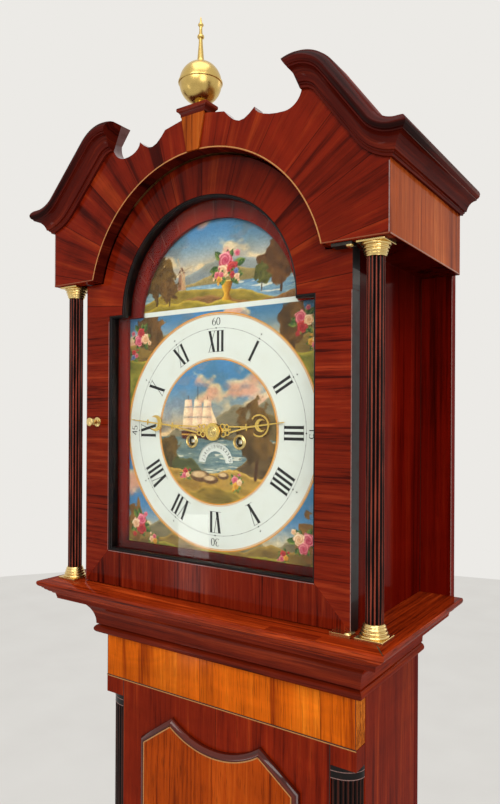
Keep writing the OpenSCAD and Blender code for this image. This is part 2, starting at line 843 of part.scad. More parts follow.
module minute_hand() {
    color("gold") place(0, 0) {
        slab(minute_y, minute_y + hand_t) rotate(minute_turn)
            hand_shape(minute_len, arbor_r + run_gap);
        difference() {
            bar(0, 0, 3.4, minute_y + hand_t - eps, plate_y - 1);
            bar(0, 0, arbor_r + 0.2, minute_y, plate_y);
        }
        slab(plate_y - 5, plate_y - 3) toothed(motion_n, motion_m, minute_a, 3);
    }
}

module hour_wheel() {
    color("gold") place(0, 0) {
        slab(plate_y - 11, plate_y - 9) difference() {
            train_wheel(hour_n, hour_m, minute_a, 11, 3.6);
        }
        difference() {
            bar(0, 0, 5, hour_y + hand_t, plate_y - 6.5);
            bar(0, 0, 3.6, hour_y, plate_y);
        }
        difference() {
            slab(plate_y - 9 - eps, plate_y - 7) polygon([for (i = [0:11]) each
                [for (j = [0:2]) let (a = 30 * i + 14.9 * j, r = 22 - i) r * [cos(a), sin(a)]]]);
            bar(0, 0, 4.8, plate_y - 12, plate_y);
        }
    }
}

module hour_hand() {
    color("gold") place(0, 0) slab(hour_y, hour_y + hand_t) rotate(hour_turn) difference() {
        union() {
            hand_shape(hour_len, 3.6);
            translate([0, hour_len * 0.66]) difference() {
                circle(r = 15, $fn = 64);
                circle(r = 13, $fn = 64);
                translate([-20, -20]) square([40, 10]);
            }
        }
        circle(r = 3.6, $fn = fine);
    }
}

module minute_wheel() {
    color("gold") place(minute_x, minute_up) {
        slab(plate_y - 5, plate_y - 3) train_wheel(motion_n, motion_m, minute_a + 180 + 5, 4, 1.5);
        pinion(hour_pinion, hour_m, minute_a + 180 + 180 / hour_pinion, plate_y - 12, plate_y - 5 + eps);
        bar(0, 0, 1.6, plate_y - 14, plate_y);
    }
}

module calendar_disc() {
    color("white") place(0, -calendar_down) difference() {
        bar(0, 0, calendar_r + 3.5, dial_y + dial_t + 0.4, dial_y + dial_t + 1.4);
        bar(0, 0, stud_r + run_gap, dial_y, dial_y + 20);
    }
}

module third_wheel() {
    color("gold") place(third_x, third_up) {
        bar(0, 0, arbor_r, plate_y, rear_y + plate_t);
        pinion(third_pinion, centre_m, third_a + 180 + 180 / third_pinion, centre_y - 1, centre_y + 3);
        slab(third_y, third_y + wheel_t) train_wheel(third_n, third_m, escape_a, 5, arbor_r - 0.1);
    }
}

module escape_wheel() {
    color("gold") place(0, escape_up) {
        bar(0, 0, arbor_r, plate_y, rear_y + plate_t);
        pinion(escape_pinion, third_m, escape_a + 180 + 180 / escape_pinion, third_y - 1, third_y + 3);
        slab(escape_y, escape_y + wheel_t) difference() {
            polygon([for (i = [0:escape_n - 1]) let (a = 12 * i) each
                [escape_r * [cos(a), sin(a)], (escape_r - 3.4) * [cos(a + 2.2), sin(a + 2.2)],
                    (escape_r - 3.6) * [cos(a + 8), sin(a + 8)]]]);
            difference() {
                circle(r = escape_r - 6.5, $fn = fine);
                circle(r = 5, $fn = fine);
                for (i = [0:3]) rotate(90 * i) translate([0, -1.2]) square([escape_r, 2.4]);
            }
        }
    }
}

crutch_y = rear_y + plate_t + 4;
crutch_drop = 118;

module pallets() {
    reach = pallet_up - escape_up;
    color("silver") place(0, pallet_up) {
        bar(0, 0, arbor_r, plate_y, cock_y + 4);
        slab(escape_y - 1, escape_y + 3) difference() {
            polygon(concat(arc(0, -3, 17, 20, 160, 12), [[-17.6, -9], [-14.6, -10.2]],
                arc(0, -4.5, 13, 155, 25, 10), [[14.6, -10.2], [17.6, -9]]));
            circle(r = arbor_r - 0.1, $fn = fine);
        }
        bar(0, 0, 3.6, escape_y - 1, escape_y + 3);
        slab(escape_y - 1, escape_y + 3) translate([-1.6, 2]) square([3.2, 9]);
        slab(crutch_y, crutch_y + 2) {
            translate([-2, -crutch_drop]) square([4, crutch_drop]);
            circle(r = 5, $fn = fine);
        }
        both() block(3.4, 5, crutch_y + 2, swing_y + 8, -crutch_drop, -crutch_drop + 5);
        block(-5, 5, crutch_y, crutch_y + 2, -crutch_drop, -crutch_drop + 5);
    }
}

bob_z = -pendulum_len;
rod_r = 3;

module pendulum_rod() {
    color("silver") place(0, pallet_up) {
        block(-3.6, 3.6, swing_y - 0.15, swing_y + 0.15, -34, 10.7);
        block(-8, 8, swing_y - 2, swing_y + 2, 10.6, 13.4);
        block(-5, 5, swing_y - 2.5, swing_y + 2.5, -42, -33);
        translate([0, swing_y, -pendulum_len - 84]) cylinder(h = pendulum_len + 43, r = rod_r, $fn = 48);
    }
}

module pendulum_bob() {
    color("gold") place(0, pallet_up) {
        difference() {
            translate([0, swing_y, bob_z]) rotate([90, 0, 0]) rotate_extrude($fn = fine) polygon([
                [0, -11], [bob_r * 0.5, -10], [bob_r * 0.85, -6.5], [bob_r, -1.5], [bob_r, 1.5],
                [bob_r * 0.85, 6.5], [bob_r * 0.5, 10], [0, 11]]);
            translate([0, swing_y, bob_z - 60]) cylinder(h = 120, r = rod_r + run_gap, $fn = 48);
        }
        difference() {
            translate([0, swing_y, bob_z - bob_r - 12]) cylinder(h = 11.8, r = 9, $fn = 12);
            translate([0, swing_y, bob_z - bob_r - 13]) cylinder(h = 14, r = rod_r + run_gap, $fn = 48);
        }
    }
}

module strike_drum() {
    color("gold") drum(-wind_x);
}

module strike_great_wheel() {
    color("gold") great_wheel(-wind_x, strike_n, strike_m, pin_a);
}

lift_pins = 8;
lift_r = 16.6;

module pin_wheel() {
    color("gold") place(pin_x, pin_up) {
        bar(0, 0, arbor_r, plate_y, rear_y + plate_t);
        pinion(pin_pinion, strike_m, pin_a + 180 + 180 / pin_pinion, great_y - 1, great_y + 3.5);
        slab(pin_y, pin_y + 2) train_wheel(pin_n, pin_m, gather_a, 5, arbor_r - 0.1);
        for (i = [0:lift_pins - 1]) rotate([0, 360 * i / lift_pins, 0])
            bar(lift_r, 0, 0.8, pin_y - 4.5, pin_y + eps);
    }
}

module gathering_wheel() {
    color("gold") place(gather_x, gather_up) {
        bar(0, 0, arbor_r, plate_y, rear_y + plate_t);
        pinion(gather_pinion, pin_m, gather_a + 180 + 180 / gather_pinion, pin_y - 1, pin_y + 3);
        slab(gather_y, gather_y + wheel_t) train_wheel(gather_n, gather_m, warn_a, 4.5, arbor_r - 0.1);
    }
}

module warning_wheel() {
    color("gold") place(warn_x, warn_up) {
        bar(0, 0, arbor_r, plate_y, rear_y + plate_t);
        pinion(warn_pinion, gather_m, warn_a + 180 + 180 / warn_pinion, gather_y - 1, gather_y + 3);
        slab(warn_y, warn_y + wheel_t) train_wheel(warn_n, warn_m, fly_a, 4, arbor_r - 0.1);
    }
}

module fly() {
    color("gold") place(fly_x, fly_up) {
        bar(0, 0, arbor_r, plate_y, rear_y + plate_t);
        pinion(fly_pinion, warn_m, fly_a + 180 + 180 / fly_pinion, warn_y - 1, warn_y + 3);
        bar(0, 0, 2.6, gather_y + 5, pin_y - 6);
        block(-9.5, 9.5, gather_y + 6, pin_y - 8, -0.4, 0.4);
    }
}

hammer_y = bell_y;
head_gap = 1.5;

module hammer() {
    head_x = -bell_r - head_gap - hammer_x;
    head_z = bell_z - dial_z - hammer_up + 4;
    color("silver") place(hammer_x, hammer_up) {
        bar(0, 0, arbor_r, plate_y, rear_y + plate_t);
        block(-1.6, 1.6, hammer_y - 1.6, hammer_y + 1.6, 0, head_z);
        translate([-10, hammer_y, head_z]) rotate([0, 90, 0]) cylinder(h = head_x + 10, r = 5, $fn = 48);
        block(0, pin_x - lift_r - 2 - hammer_x, pin_y - 4, pin_y - 2.4, -1.5, 1.5);
        bar(0, 0, 3, pin_y - 4.5, pin_y - 2);
    }
}

rack_r = 62;
rack_n = 14;

// The toothed rack: its tail drops on the snail, and so counts the hours.
module rack() {
    color("gold") place(rack_x, -rack_down) slab(rack_y, rack_y + 2) difference() {
        offset(delta = hand_swell) {
            circle(r = 6, $fn = fine);
            rotate(100) translate([0, -2]) square([rack_r - 4, 4]);
            rotate(20) translate([0, -1.5]) square([60, 3]);
            polygon(concat(arc(0, 0, rack_r - 7, 84, 116, 12),
                [for (i = [0:rack_n - 1], k = [0, 1]) (rack_r + 1.6 * k) *
                    [cos(116 - 32 * (i + k) / rack_n), sin(116 - 32 * (i + k) / rack_n)]],
                [rack_r * [cos(84), sin(84)]]));
        }
        circle(r = stud_r + run_gap, $fn = fine);
    }
}

// A weight on its pulley, with the sheave's centre at the rest height.
pulley_z = seat_z - seat_t - pulley_drop;

axle_r = 2.4;

module weight(x) {
    top = pulley_z - 34;
    translate([x + weight_dx, weight_y, 0]) {
        difference() {
            translate([0, 0, top - weight_h]) cylinder(h = weight_h, r = weight_r, $fn = fine);
            translate([0, 0, top - weight_h - 1]) cylinder(h = 5, r = weight_r - 8, $fn = fine);
        }
        translate([0, 0, top - eps]) cylinder(h = 8, r = 4, $fn = 48);
        block(-4, 4, -7, 7, top + 7.9, top + 11);
        for (y = [-7, 4.6]) block(-4, 4, y, y + 2.4, top + 10.9, pulley_z + 5);
        translate([0, -8, pulley_z]) rotate([-90, 0, 0]) cylinder(h = 16, r = axle_r, $fn = 48);
    }
}

module going_weight() {
    color("dimgray") weight(wind_x);
}

module strike_weight() {
    color("dimgray") weight(-wind_x);
}

// The grooved brass wheel that a gut line runs round.
module sheave(x) {
    bore = axle_r + run_gap;
    translate([x + weight_dx, weight_y, pulley_z]) rotate([-90, 0, 0]) difference() {
        rotate_extrude($fn = fine) polygon([
            [bore, -4], [pulley_r + 2, -4], [pulley_r + 2, -3.2], [pulley_r - soft_gap, -1],
            [pulley_r - soft_gap, 1], [pulley_r + 2, 3.2], [pulley_r + 2, 4], [bore, 4]]);
        for (i = [0:4]) rotate(72 * i) translate([pulley_r * 0.6, 0, -6])
            cylinder(h = 12, r = 4, $fn = 48);
    }
}

module going_pulley() {
    color("gold") sheave(wind_x);
}

module strike_pulley() {
    color("gold") sheave(-wind_x);
}

// A gut line: from the drum down round the pulley and up to the seat.
module gut_line(x) {
    steps = 12;
    path = concat(
        [[line_dx, dial_z - wind_down, 0]],
        [for (i = [0:steps]) let (a = 180 * i / steps)
            [weight_dx - loop_r * cos(a), pulley_z - loop_r * sin(a), a]],
        [[tie_dx, seat_z - 2, 180]]);
    skin([for (p = path) [for (k = [0:7])
        [x + p[0] + gut_r * cos(45 * k) * cos(p[2]), weight_y + gut_r * sin(45 * k),
            p[1] + gut_r * cos(45 * k) * sin(p[2])]]]);
}

module going_line() {
    color("peru") gut_line(wind_x);
}

module strike_line() {
    color("peru") gut_line(-wind_x);
}

// Trunk door
thinge_x = tdoor_w + 3;
thinge_y = trunk_y - lip_t / 2;
thinge_zs = [tdoor_z + 90, shoulder_z - 90];
thinge_r = 3;

module trunk_door() {
    color("chocolate") {
        slab(trunk_y - lip_t, trunk_y - soft_gap) tdoor_shape(0);
        slab(trunk_y - soft_gap - eps, trunk_y + plug_t) tdoor_shape(lip_w + gap);
    }
}

lock_z = (tdoor_z + shoulder_z) / 2 + 60;

module trunk_door_fittings() {
    x = -tdoor_w + 24;
    color("gold") {
        for (z = thinge_zs) {
            translate([thinge_x, thinge_y, z - 26]) cylinder(h = 52, r = thinge_r, $fn = fine);
            block(tdoor_w, thinge_x, thinge_y - 1, thinge_y + 1, z - 24, z + 24);
        }
        translate([0, 0, lock_z]) slab(trunk_y - lip_t - 1.6, trunk_y - lip_t) difference() {
            translate([x, 0]) scale([1, 1.5]) circle(r = 9, $fn = fine);
            translate([x, 2]) circle(r = 2.4, $fn = fine);
            translate([x - 1.1, -6]) square([2.2, 8]);
        }
        translate([0, trunk_y + plug_t, lock_z])
            block(lip_w + gap + 1 - tdoor_w, x + 24, 0, 11, -24, 24);
    }
}

// Hood
module hood_sill() {
    step = 4;
    inner = (cheek_x + gap - trunk_x) / throat_dx;
    color("firebrick") difference() {
        round_moulding([
            [inner, sill_z], [cove_top + 0.02, sill_z], [cove_top + 0.04, sill_z + step],
            [0.8, sill_z + step], [0.85, sill_z + 8], [0.92, sill_z + 11], [0.92, sill_z + 13],
            [0.96, sill_z + 13.5], [1, sill_z + 17], [1, hood_z - 1.5], [0.985, hood_z], [inner, hood_z]],
            trunk_x, throat_dx, trunk_y, throat_dy, back_y);
        translate([pivot_x, face_y + pivot_y, hood_z - 8]) cylinder(h = 9, r = pin_r + run_gap, $fn = fine);
    }
}

roof_z = top_z - hood_t;
frame_y = door_y + door_t + gap;
soffit_x = sqrt(pow(arch_r, 2) - pow(fascia_z - dial_z - arch_up, 2)) + 1;

module hood_sides() {
    color("sienna") both() {
        block(side_x - hood_t, side_x, frame_y, back_y, hood_z, fascia_z);
        block(fascia_x - hood_t, fascia_x, face_y + board_t, back_y, fascia_z, roof_z);
        block(side_x - hood_t, fascia_x - hood_t, frame_y, back_y, fascia_z, fascia_z + hood_t);
        block(soffit_x, fascia_x - hood_t, face_y + board_t, frame_y, fascia_z, fascia_z + hood_t);
    }
}

// A horn's crown in x, its slope, its foot's radius, its tip in x and its rise: right for s > 0, left
// otherwise.
function horn_shape(s) = s > 0
    ? [fascia_x - peak_in_right, slope_right, foot_r_right, fascia_x - peak_in_right - tip_in_right, rise_right]
    : [fascia_x - peak_in_left, slope_left, foot_r_left, fascia_x - peak_in_left - tip_in_left, rise_left];

function crown_c(h) = [h[0], top_z + h[4] - crown_r];

function foot_c(h) =
    let (c = crown_c(h), a = 90 - h[1], z = top_z + h[2],
        p = c + crown_r * [cos(a), sin(a)], q = z - h[2] * sin(a))
    [p[0] + (p[1] - q) / tan(h[1]) + h[2] * cos(a), z];

// The top edge of a horn moved down by d, at the angle a of its crown or of its foot.
function crown_at(h, a, d) = crown_c(h) + (crown_r - d) * [cos(a), sin(a)];

function foot_at(h, a, d) = foot_c(h) + (h[2] + d) * [cos(a), sin(a)];

function tip_at(h, d) =
    let (c = crown_c(h), x = h[3])
    [x, c[1] + sqrt(max(4, pow(crown_r - d, 2) - pow(x - c[0], 2)))];

function mitre_at(h, x, d) =
    let (f = foot_c(h)) [x, x < f[0] ? f[1] - sqrt(pow(h[2] + d, 2) - pow(x - f[0], 2)) : f[1] - h[2] - d];

// The angle round the foot's centre at which the moulding meets the mitre at x.
function foot_end(h, x, d) = let (k = (x - foot_c(h)[0]) / (h[2] + d)) k < 0 ? 270 + asin(k) : 270;

// The edge at depth d below the top, from the tip to just short of the mitre at x.
function horn_edge(h, x, d) =
    let (a = 270 - h[1], b = foot_end(h, x, d))
    concat([tip_at(h, d)],
        [for (i = [0:7]) crown_at(h, 98 - (8 + h[1]) * i / 7, d)],
        [for (i = [0:3]) foot_at(h, a + (b - a) * i / 4, d)]);

// The crest between the horns: each half has two scallops that step up to the keystone.
cusp_up = [95.7, arch_top + 33.5];
key_edge = [49.5, arch_top + 39.5];
scallop_d = 14.5;

// The hollow that ends a horn: from below its tip round to its lowest point.
hollow_r = 24;
hollow_rise = 73;

function hollow(h) = let (c = [h[3] - 7, top_z + hollow_rise])
    [for (i = [0:11]) c + hollow_r * [cos(8 - 98 * i / 11), sin(8 - 98 * i / 11)]];

function horn_cut(h) = let (tip = tip_at(h, 0), low = hollow(h)[11])
    concat([tip + [0, 20], tip], hollow(h), [[0, low[1]], [0, tip[1] + 20]]);

function crest(h) = let (low = hollow(h)[11], rise = dial_z + cusp_up[1] - low[1]) concat(
    hollow(h),
    [for (i = [1:6]) let (a = 15 * i)
        [low[0] + (cusp_up[0] - low[0]) * sin(a), low[1] + rise * (1 - cos(a))]],
    [for (i = [1:6]) let (k = i / 6)
        [cusp_up[0] + (key_edge[0] - cusp_up[0]) * k,
            dial_z + cusp_up[1] + (key_edge[1] - cusp_up[1]) * k - scallop_d * sin(180 * k)]],
    [[(key_edge[0] + key_top) / 2, dial_z + key_edge[1] + 3], [key_top, dial_z + key_up - 2]]);

function fascia_half(s) =
    let (h = horn_shape(s))
    concat([[fascia_x, fascia_z], [fascia_x, mitre_at(h, fascia_x, 0)[1]]],
        [for (i = [12:-1:0]) horn_edge(h, fascia_x, 0)[i]], crest(h));

module hood_fascia() {
    right = fascia_half(1);
    left = flip(fascia_half(-1));
    color("brown") difference() {
        slab(face_y, face_y + board_t) difference() {
            polygon(concat(right, left));
            translate([0, dial_z + arch_up]) circle(r = arch_r, $fn = fine);
        }
        translate([pivot_x, face_y + pivot_y, fascia_z - 1])
            cylinder(h = 9, r = pin_r + run_gap, $fn = fine);
    }
}

// The horn moulding's section: how far it stands out and how far it lies below the top edge.
horn_section = [[0, 0], [0.62, 0], [0.86, 0.05], [0.98, 0.15], [1, 0.26], [0.93, 0.37], [0.8, 0.42],
    [0.78, 0.47], [0.62, 0.52], [0.45, 0.62], [0.34, 0.75], [0.3, 0.87], [0.14, 0.93], [0.14, 1], [0, 1]];

module horn(s) {
    h = horn_shape(s);
    rings = concat(
        [for (y = [1, 0]) [for (p = horn_section)
            let (o = p[0] * cornice_out, q = mitre_at(h, fascia_x + o, p[1] * cornice_h))
            [q[0], y > 0 ? back_y : face_y - o, q[1]]]],
        [for (i = [12:-1:0]) [for (p = horn_section)
            let (o = p[0] * cornice_out, q = horn_edge(h, fascia_x + o, p[1] * cornice_h)[i])
            [q[0], face_y - o, q[1]]]]);
    mirror([s < 0 ? 1 : 0, 0, 0]) difference() {
        skin(rings);
        slab(face_y - cornice_out - 1, face_y + 1) polygon(horn_cut(h));
    }
}

module horn_mouldings() {
    color("maroon") {
        horn(1);
        horn(-1);
    }
}

vault_r = arch_r + 3;

module hood_roof() {
    c = dial_z + arch_up;
    color("saddlebrown") slab(face_y + board_t, back_y) difference() {
        union() {
            translate([-fascia_x, roof_z]) square([2 * fascia_x, hood_t]);
            intersection() {
                translate([0, c]) circle(r = vault_r + 5, $fn = fine);
                translate([-fascia_x, roof_z]) square([2 * fascia_x, vault_r]);
            }
        }
        translate([0, c]) circle(r = vault_r, $fn = fine);
    }
}

module crest_cap() {
    z = dial_z + key_up;
    foot_z = dial_z + arch_up + arch_r;
    w = key_top + 6;
    step = cap_h / 4;
    color("chocolate") {
        slab(face_y - 3, face_y)
            polygon([[-key_foot, foot_z], [key_foot, foot_z], [key_top, z + eps], [-key_top, z + eps]]);
        block(-key_top - 1, key_top + 1, face_y - 3, face_y + board_t, z, z + step);
        block(-w + 3, w - 3, face_y - 4, face_y + board_t, z + step - eps, z + 2 * step);
        block(-w, w, face_y - 6, face_y + board_t + 2, z + 2 * step - eps, z + cap_h);
    }
}

module finial() {
    z = dial_z + key_up + cap_h;
    ball_z = 7 + ball_r;
    color("gold") translate([0, face_y + board_t - 4, z]) {
        rotate_extrude($fn = fine) polygon(concat(
            [[0, 0], [11, 0], [11, 2], [6, 3.2], [4.4, 6], [5.4, 8.5]],
            [for (a = [-72:12:-12]) [ball_r * cos(a), ball_z + ball_r * sin(a)]],
            [[ball_r, ball_z - 1.2], [ball_r + 1, ball_z - 0.8], [ball_r + 1, ball_z + 0.8],
                [ball_r, ball_z + 1.2]],
            [for (a = [12:12:72]) [ball_r * cos(a), ball_z + ball_r * sin(a)]],
            [[6.5, ball_z + ball_r - 0.4], [5, ball_z + ball_r + 2], [3.6, ball_z + ball_r + 5],
                [2.2, finial_h - 29], [4.2, finial_h - 27], [4.2, finial_h - 24.5], [2.2, finial_h - 23],
                [1.8, finial_h - 14], [3.6, finial_h - 12], [3.4, finial_h - 10], [1.6, finial_h - 8.5],
                [0, finial_h]]));
    }
}

module hood_columns() {
    color("black") both() translate([column_x, face_y + column_y, hood_z + brass_h])
        linear_extrude(column_h - 2 * brass_h)
            polygon(reeded(shaft_r, shaft_r, 0, 360, reeds, 1.5));
}

// A brass base; the capital is the same casting turned over.
module brass_base() {
    translate([-plinth_r, -plinth_r, 0]) cube([2 * plinth_r, 2 * plinth_r, 3]);
    rotate_extrude($fn = fine) polygon([[0, 2.9], [16.6, 2.9], [16.9, 5.4], [15, 6.8], [14.2, 7.4],
        [14.8, 8.6], [14.2, 10], [13.4, 10.6], [13.7, 12], [13, 13.4], [12.4, 14], [12.7, 15.4],
        [12, 16.6], [11.6, brass_h], [0, brass_h]]);
}

module column_brasses() {
    color("gold") both() {
        translate([column_x, face_y + column_y, hood_z]) brass_base();
        translate([column_x, face_y + column_y, fascia_z]) mirror([0, 0, 1]) brass_base();
    }
}

module hood_mask() {
    color("maroon") translate([0, 0, dial_z]) slab(mask_y, mask_y + mask_t) difference() {
        union() {
            translate([-side_x + hood_t, -dial_rise])
                square([2 * (side_x - hood_t), dial_rise + arch_up + 20]);
            translate([0, arch_up]) circle(r = vault_r - 0.5, $fn = fine);
        }
        polygon(break_arch(mask_w, mask_lap - dial_down, dial_up - 2, dial_arch_up,
            dial_arch_r - mask_lap));
    }
}

// Hood door
hdoor_x = side_x + 2.5;
hdoor_r = arch_r - 3;
hdoor_gap = 1.5;

module sight(out) {
    offset(delta = out) polygon(break_arch(sight_w, -sight_down, sight_up, sight_up, sight_r));
}

module hood_door() {
    shoulder = column_h - dial_rise - hdoor_gap;
    color("brown") translate([0, 0, dial_z]) difference() {
        slab(door_y, door_y + door_t)
            polygon(break_arch(hdoor_x, -dial_rise + hdoor_gap, shoulder, arch_up, hdoor_r));
        slab(door_y - 1, door_y + door_t + 1) sight(0);
        slab(door_y + door_t / 2, door_y + door_t + 1) sight(5);
    }
    color("black") translate([0, 0, dial_z]) slab(door_y + 1, door_y + door_t / 2) difference() {
        sight(eps);
        sight(-bead_w);
    }
}

module hood_glass() {
    y = door_y + door_t / 2;
    color("lightblue") translate([0, 0, dial_z]) slab(y, y + glass_t) sight(5);
}

knob_up = 12;
arm_t = 4;

module hood_door_fittings() {
    knob_x = -(sight_w + hdoor_x) / 2;
    pin_y = face_y + pivot_y;
    color("gold") {
        translate([knob_x, door_y, dial_z + knob_up]) rotate([90, 0, 0]) rotate_extrude($fn = fine)
            polygon([[0, 0], [7, 0], [7, 1.2], [3, 2.4], [2.6, 7], [5.5, 9.5], [7.2, 13], [6, 16.6],
                [0, 18]]);
        for (e = [[hood_z + soft_gap, -6], [fascia_z - soft_gap - arm_t, 0]]) translate([0, 0, e[0]]) {
            translate([pivot_x, pin_y, e[1]]) cylinder(h = arm_t + 6, r = pin_r, $fn = fine);
            block(pivot_x - 22, pivot_x + 4, pin_y - 3.5, door_y, 0, arm_t);
        }
    }
}

backboard();
trunk_sides();
trunk_front();
frieze();
quarter_columns();
throat_moulding();
waist_moulding();
base_front();
base_boards();
bracket_feet();
seatboard();
front_plate();
back_plate();
back_cock();
bell_stand();
bell();
false_plate();
dial_plate();
going_drum();
going_great_wheel();
centre_wheel();
minute_hand();
third_wheel();
escape_wheel();
pallets();
pendulum_rod();
pendulum_bob();
hour_wheel();
hour_hand();
minute_wheel();
calendar_disc();
strike_drum();
strike_great_wheel();
pin_wheel();
gathering_wheel();
warning_wheel();
fly();
hammer();
rack();
going_weight();
strike_weight();
going_pulley();
strike_pulley();
going_line();
strike_line();
trunk_door();
trunk_door_fittings();
hood_sill();
hood_sides();
hood_fascia();
horn_mouldings();
hood_roof();
crest_cap();
finial();
hood_columns();
column_brasses();
hood_mask();
hood_door();
hood_glass();
hood_door_fittings();
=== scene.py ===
import json
import math

import bmesh
import bpy
import numpy as np
from mathutils import Matrix, Vector

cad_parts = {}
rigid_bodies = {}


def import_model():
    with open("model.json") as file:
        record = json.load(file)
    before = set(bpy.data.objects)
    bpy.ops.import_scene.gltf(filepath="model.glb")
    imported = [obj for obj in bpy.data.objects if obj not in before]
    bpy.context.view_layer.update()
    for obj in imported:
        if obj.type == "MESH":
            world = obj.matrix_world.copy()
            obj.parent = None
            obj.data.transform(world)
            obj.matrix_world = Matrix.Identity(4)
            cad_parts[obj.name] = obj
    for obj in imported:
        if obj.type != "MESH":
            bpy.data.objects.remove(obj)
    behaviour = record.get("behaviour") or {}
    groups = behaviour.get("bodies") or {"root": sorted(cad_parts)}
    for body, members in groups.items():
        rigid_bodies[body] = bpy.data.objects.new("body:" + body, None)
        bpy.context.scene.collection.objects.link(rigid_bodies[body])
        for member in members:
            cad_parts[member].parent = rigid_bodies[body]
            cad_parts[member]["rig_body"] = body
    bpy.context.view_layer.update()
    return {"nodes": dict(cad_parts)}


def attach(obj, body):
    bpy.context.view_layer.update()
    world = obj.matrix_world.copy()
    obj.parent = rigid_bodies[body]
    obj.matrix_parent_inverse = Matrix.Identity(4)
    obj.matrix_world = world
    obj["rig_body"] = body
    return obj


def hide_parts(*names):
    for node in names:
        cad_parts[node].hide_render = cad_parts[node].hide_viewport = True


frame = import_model()
nodes = frame["nodes"]

# Places in millimetres, in the clock's own frame: x to the right, y to the back, z up.
clock = dict(faceY=-118.5, doorY=-100.5, dialY=-66.7, trunkY=-64.0, backY=131.5, dialZ=1762.0, hoodZ=1534.0,
             fasciaZ=1980.6, topZ=2097.6, throatZ=1448.0, trunkZ=642.0, fasciaX=272.5, sideX=217.5,
             trunkX=210.7, archUp=175.0, archR=192.5)
faceY, doorY, dialY, trunkY, backY = (clock[k] for k in ("faceY", "doorY", "dialY", "trunkY", "backY"))
dialZ, hoodZ, fasciaZ, topZ, throatZ = (clock[k] for k in ("dialZ", "hoodZ", "fasciaZ", "topZ", "throatZ"))
fasciaX, trunkX, archR = clock["fasciaX"], clock["trunkX"], clock["archR"]
archZ = dialZ + clock["archUp"]
sides = (("Left", -1), ("Right", 1))


def lightOf(colour):
    # Screen values from 0 to 255 as linear light.
    c = np.asarray(colour, float) / 255
    return np.where(c <= 0.04045, c / 12.92, ((c + 0.055) / 1.055) ** 2.4)


def linear(*colour):
    return (*lightOf(colour), 1.0)


def linked(name, data):
    obj = bpy.data.objects.new(name, data)
    bpy.context.scene.collection.objects.link(obj)
    return obj


def cleaned(obj, merge=False):
    # Faces turned outwards. A loose mesh has its doubles merged and its flat neighbours joined first.
    b = bmesh.new()
    b.from_mesh(obj.data)
    if merge:
        bmesh.ops.remove_doubles(b, verts=b.verts, dist=2e-6)
        bmesh.ops.dissolve_limit(b, angle_limit=math.radians(0.3), verts=b.verts, edges=b.edges)
    bmesh.ops.recalc_face_normals(b, faces=b.faces)
    b.to_mesh(obj.data)
    b.free()


def fitted(obj, material, body, smooth, bevel=0, bevelAngle=35):
    # What every piece gets: its finish, soft faces up to an angle, eased edges and its body.
    mesh = obj.data
    mesh.materials.clear()
    mesh.materials.append(material)
    mesh.polygons.foreach_set("use_smooth", np.ones(len(mesh.polygons), bool))
    mesh.set_sharp_from_angle(angle=math.radians(smooth))
    if bevel:
        m = obj.modifiers.new("edges", "BEVEL")
        m.width, m.segments = bevel * 0.001, 2
        m.limit_method, m.angle_limit = "ANGLE", math.radians(bevelAngle)
        m.harden_normals = True
    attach(obj, body)
    return obj


def addMesh(name, verts, faces, material, body, uv=None, smooth=35, bevel=0, colour=None):
    # A mesh from points in millimetres, with a pair of uv for each point. One with a colour for each
    # point is an open skin.
    mesh = bpy.data.meshes.new(name)
    mesh.from_pydata((np.asarray(verts, float) * 0.001).tolist(), [], faces)
    if uv is not None:
        loops = np.zeros(len(mesh.loops), np.int64)
        mesh.loops.foreach_get("vertex_index", loops)
        layer = mesh.uv_layers.new(name="UVMap")
        layer.data.foreach_set("uv", (np.asarray(uv, float) * 0.001)[loops].astype(np.float32).ravel())
    if colour is not None:
        layer = mesh.color_attributes.new("paint", "FLOAT_COLOR", "POINT")
        layer.data.foreach_set("color", np.asarray(colour, np.float32).ravel())
    mesh.validate()
    obj = linked(name, mesh)
    if colour is None:
        cleaned(obj)
    return fitted(obj, material, body, smooth, bevel)


def rows(n, m, closedU=False, closedV=False):
    # Quads of a grid of n by m points, wrapped round in either direction.
    i, j = np.meshgrid(np.arange(n if closedU else n - 1), np.arange(m if closedV else m - 1), indexing="ij")
    a, b = (i + 1) % n, (j + 1) % m
    return np.stack([i * m + j, a * m + j, a * m + b, i * m + b], -1).reshape(-1, 4).tolist()


def runs(points):
    # Length along a line of points, starting at nought.
    return np.concatenate([[0], np.cumsum(np.linalg.norm(np.diff(points, axis=0), axis=1))])


def swept(name, rings, material, body, smooth=35, closed=False, uv=None, bevel=0):
    # A closed profile carried along a path: rings[i][j] is point j of the profile at station i.
    # Unless uv is given, u runs along the path and v round the profile.
    r = np.asarray(rings, float)
    n, m = r.shape[:2]
    if uv is None:
        uv = np.stack(np.broadcast_arrays(runs(r.mean(1))[:, None], runs(r[n // 2])), -1)
    faces = rows(n, m, closed, True)
    if not closed:
        faces += [list(range(m - 1, -1, -1)), list(range((n - 1) * m, n * m))]
    uv = np.reshape(uv, (-1, 2))
    return addMesh(name, r.reshape(-1, 3), faces, material, body, uv, smooth, bevel)


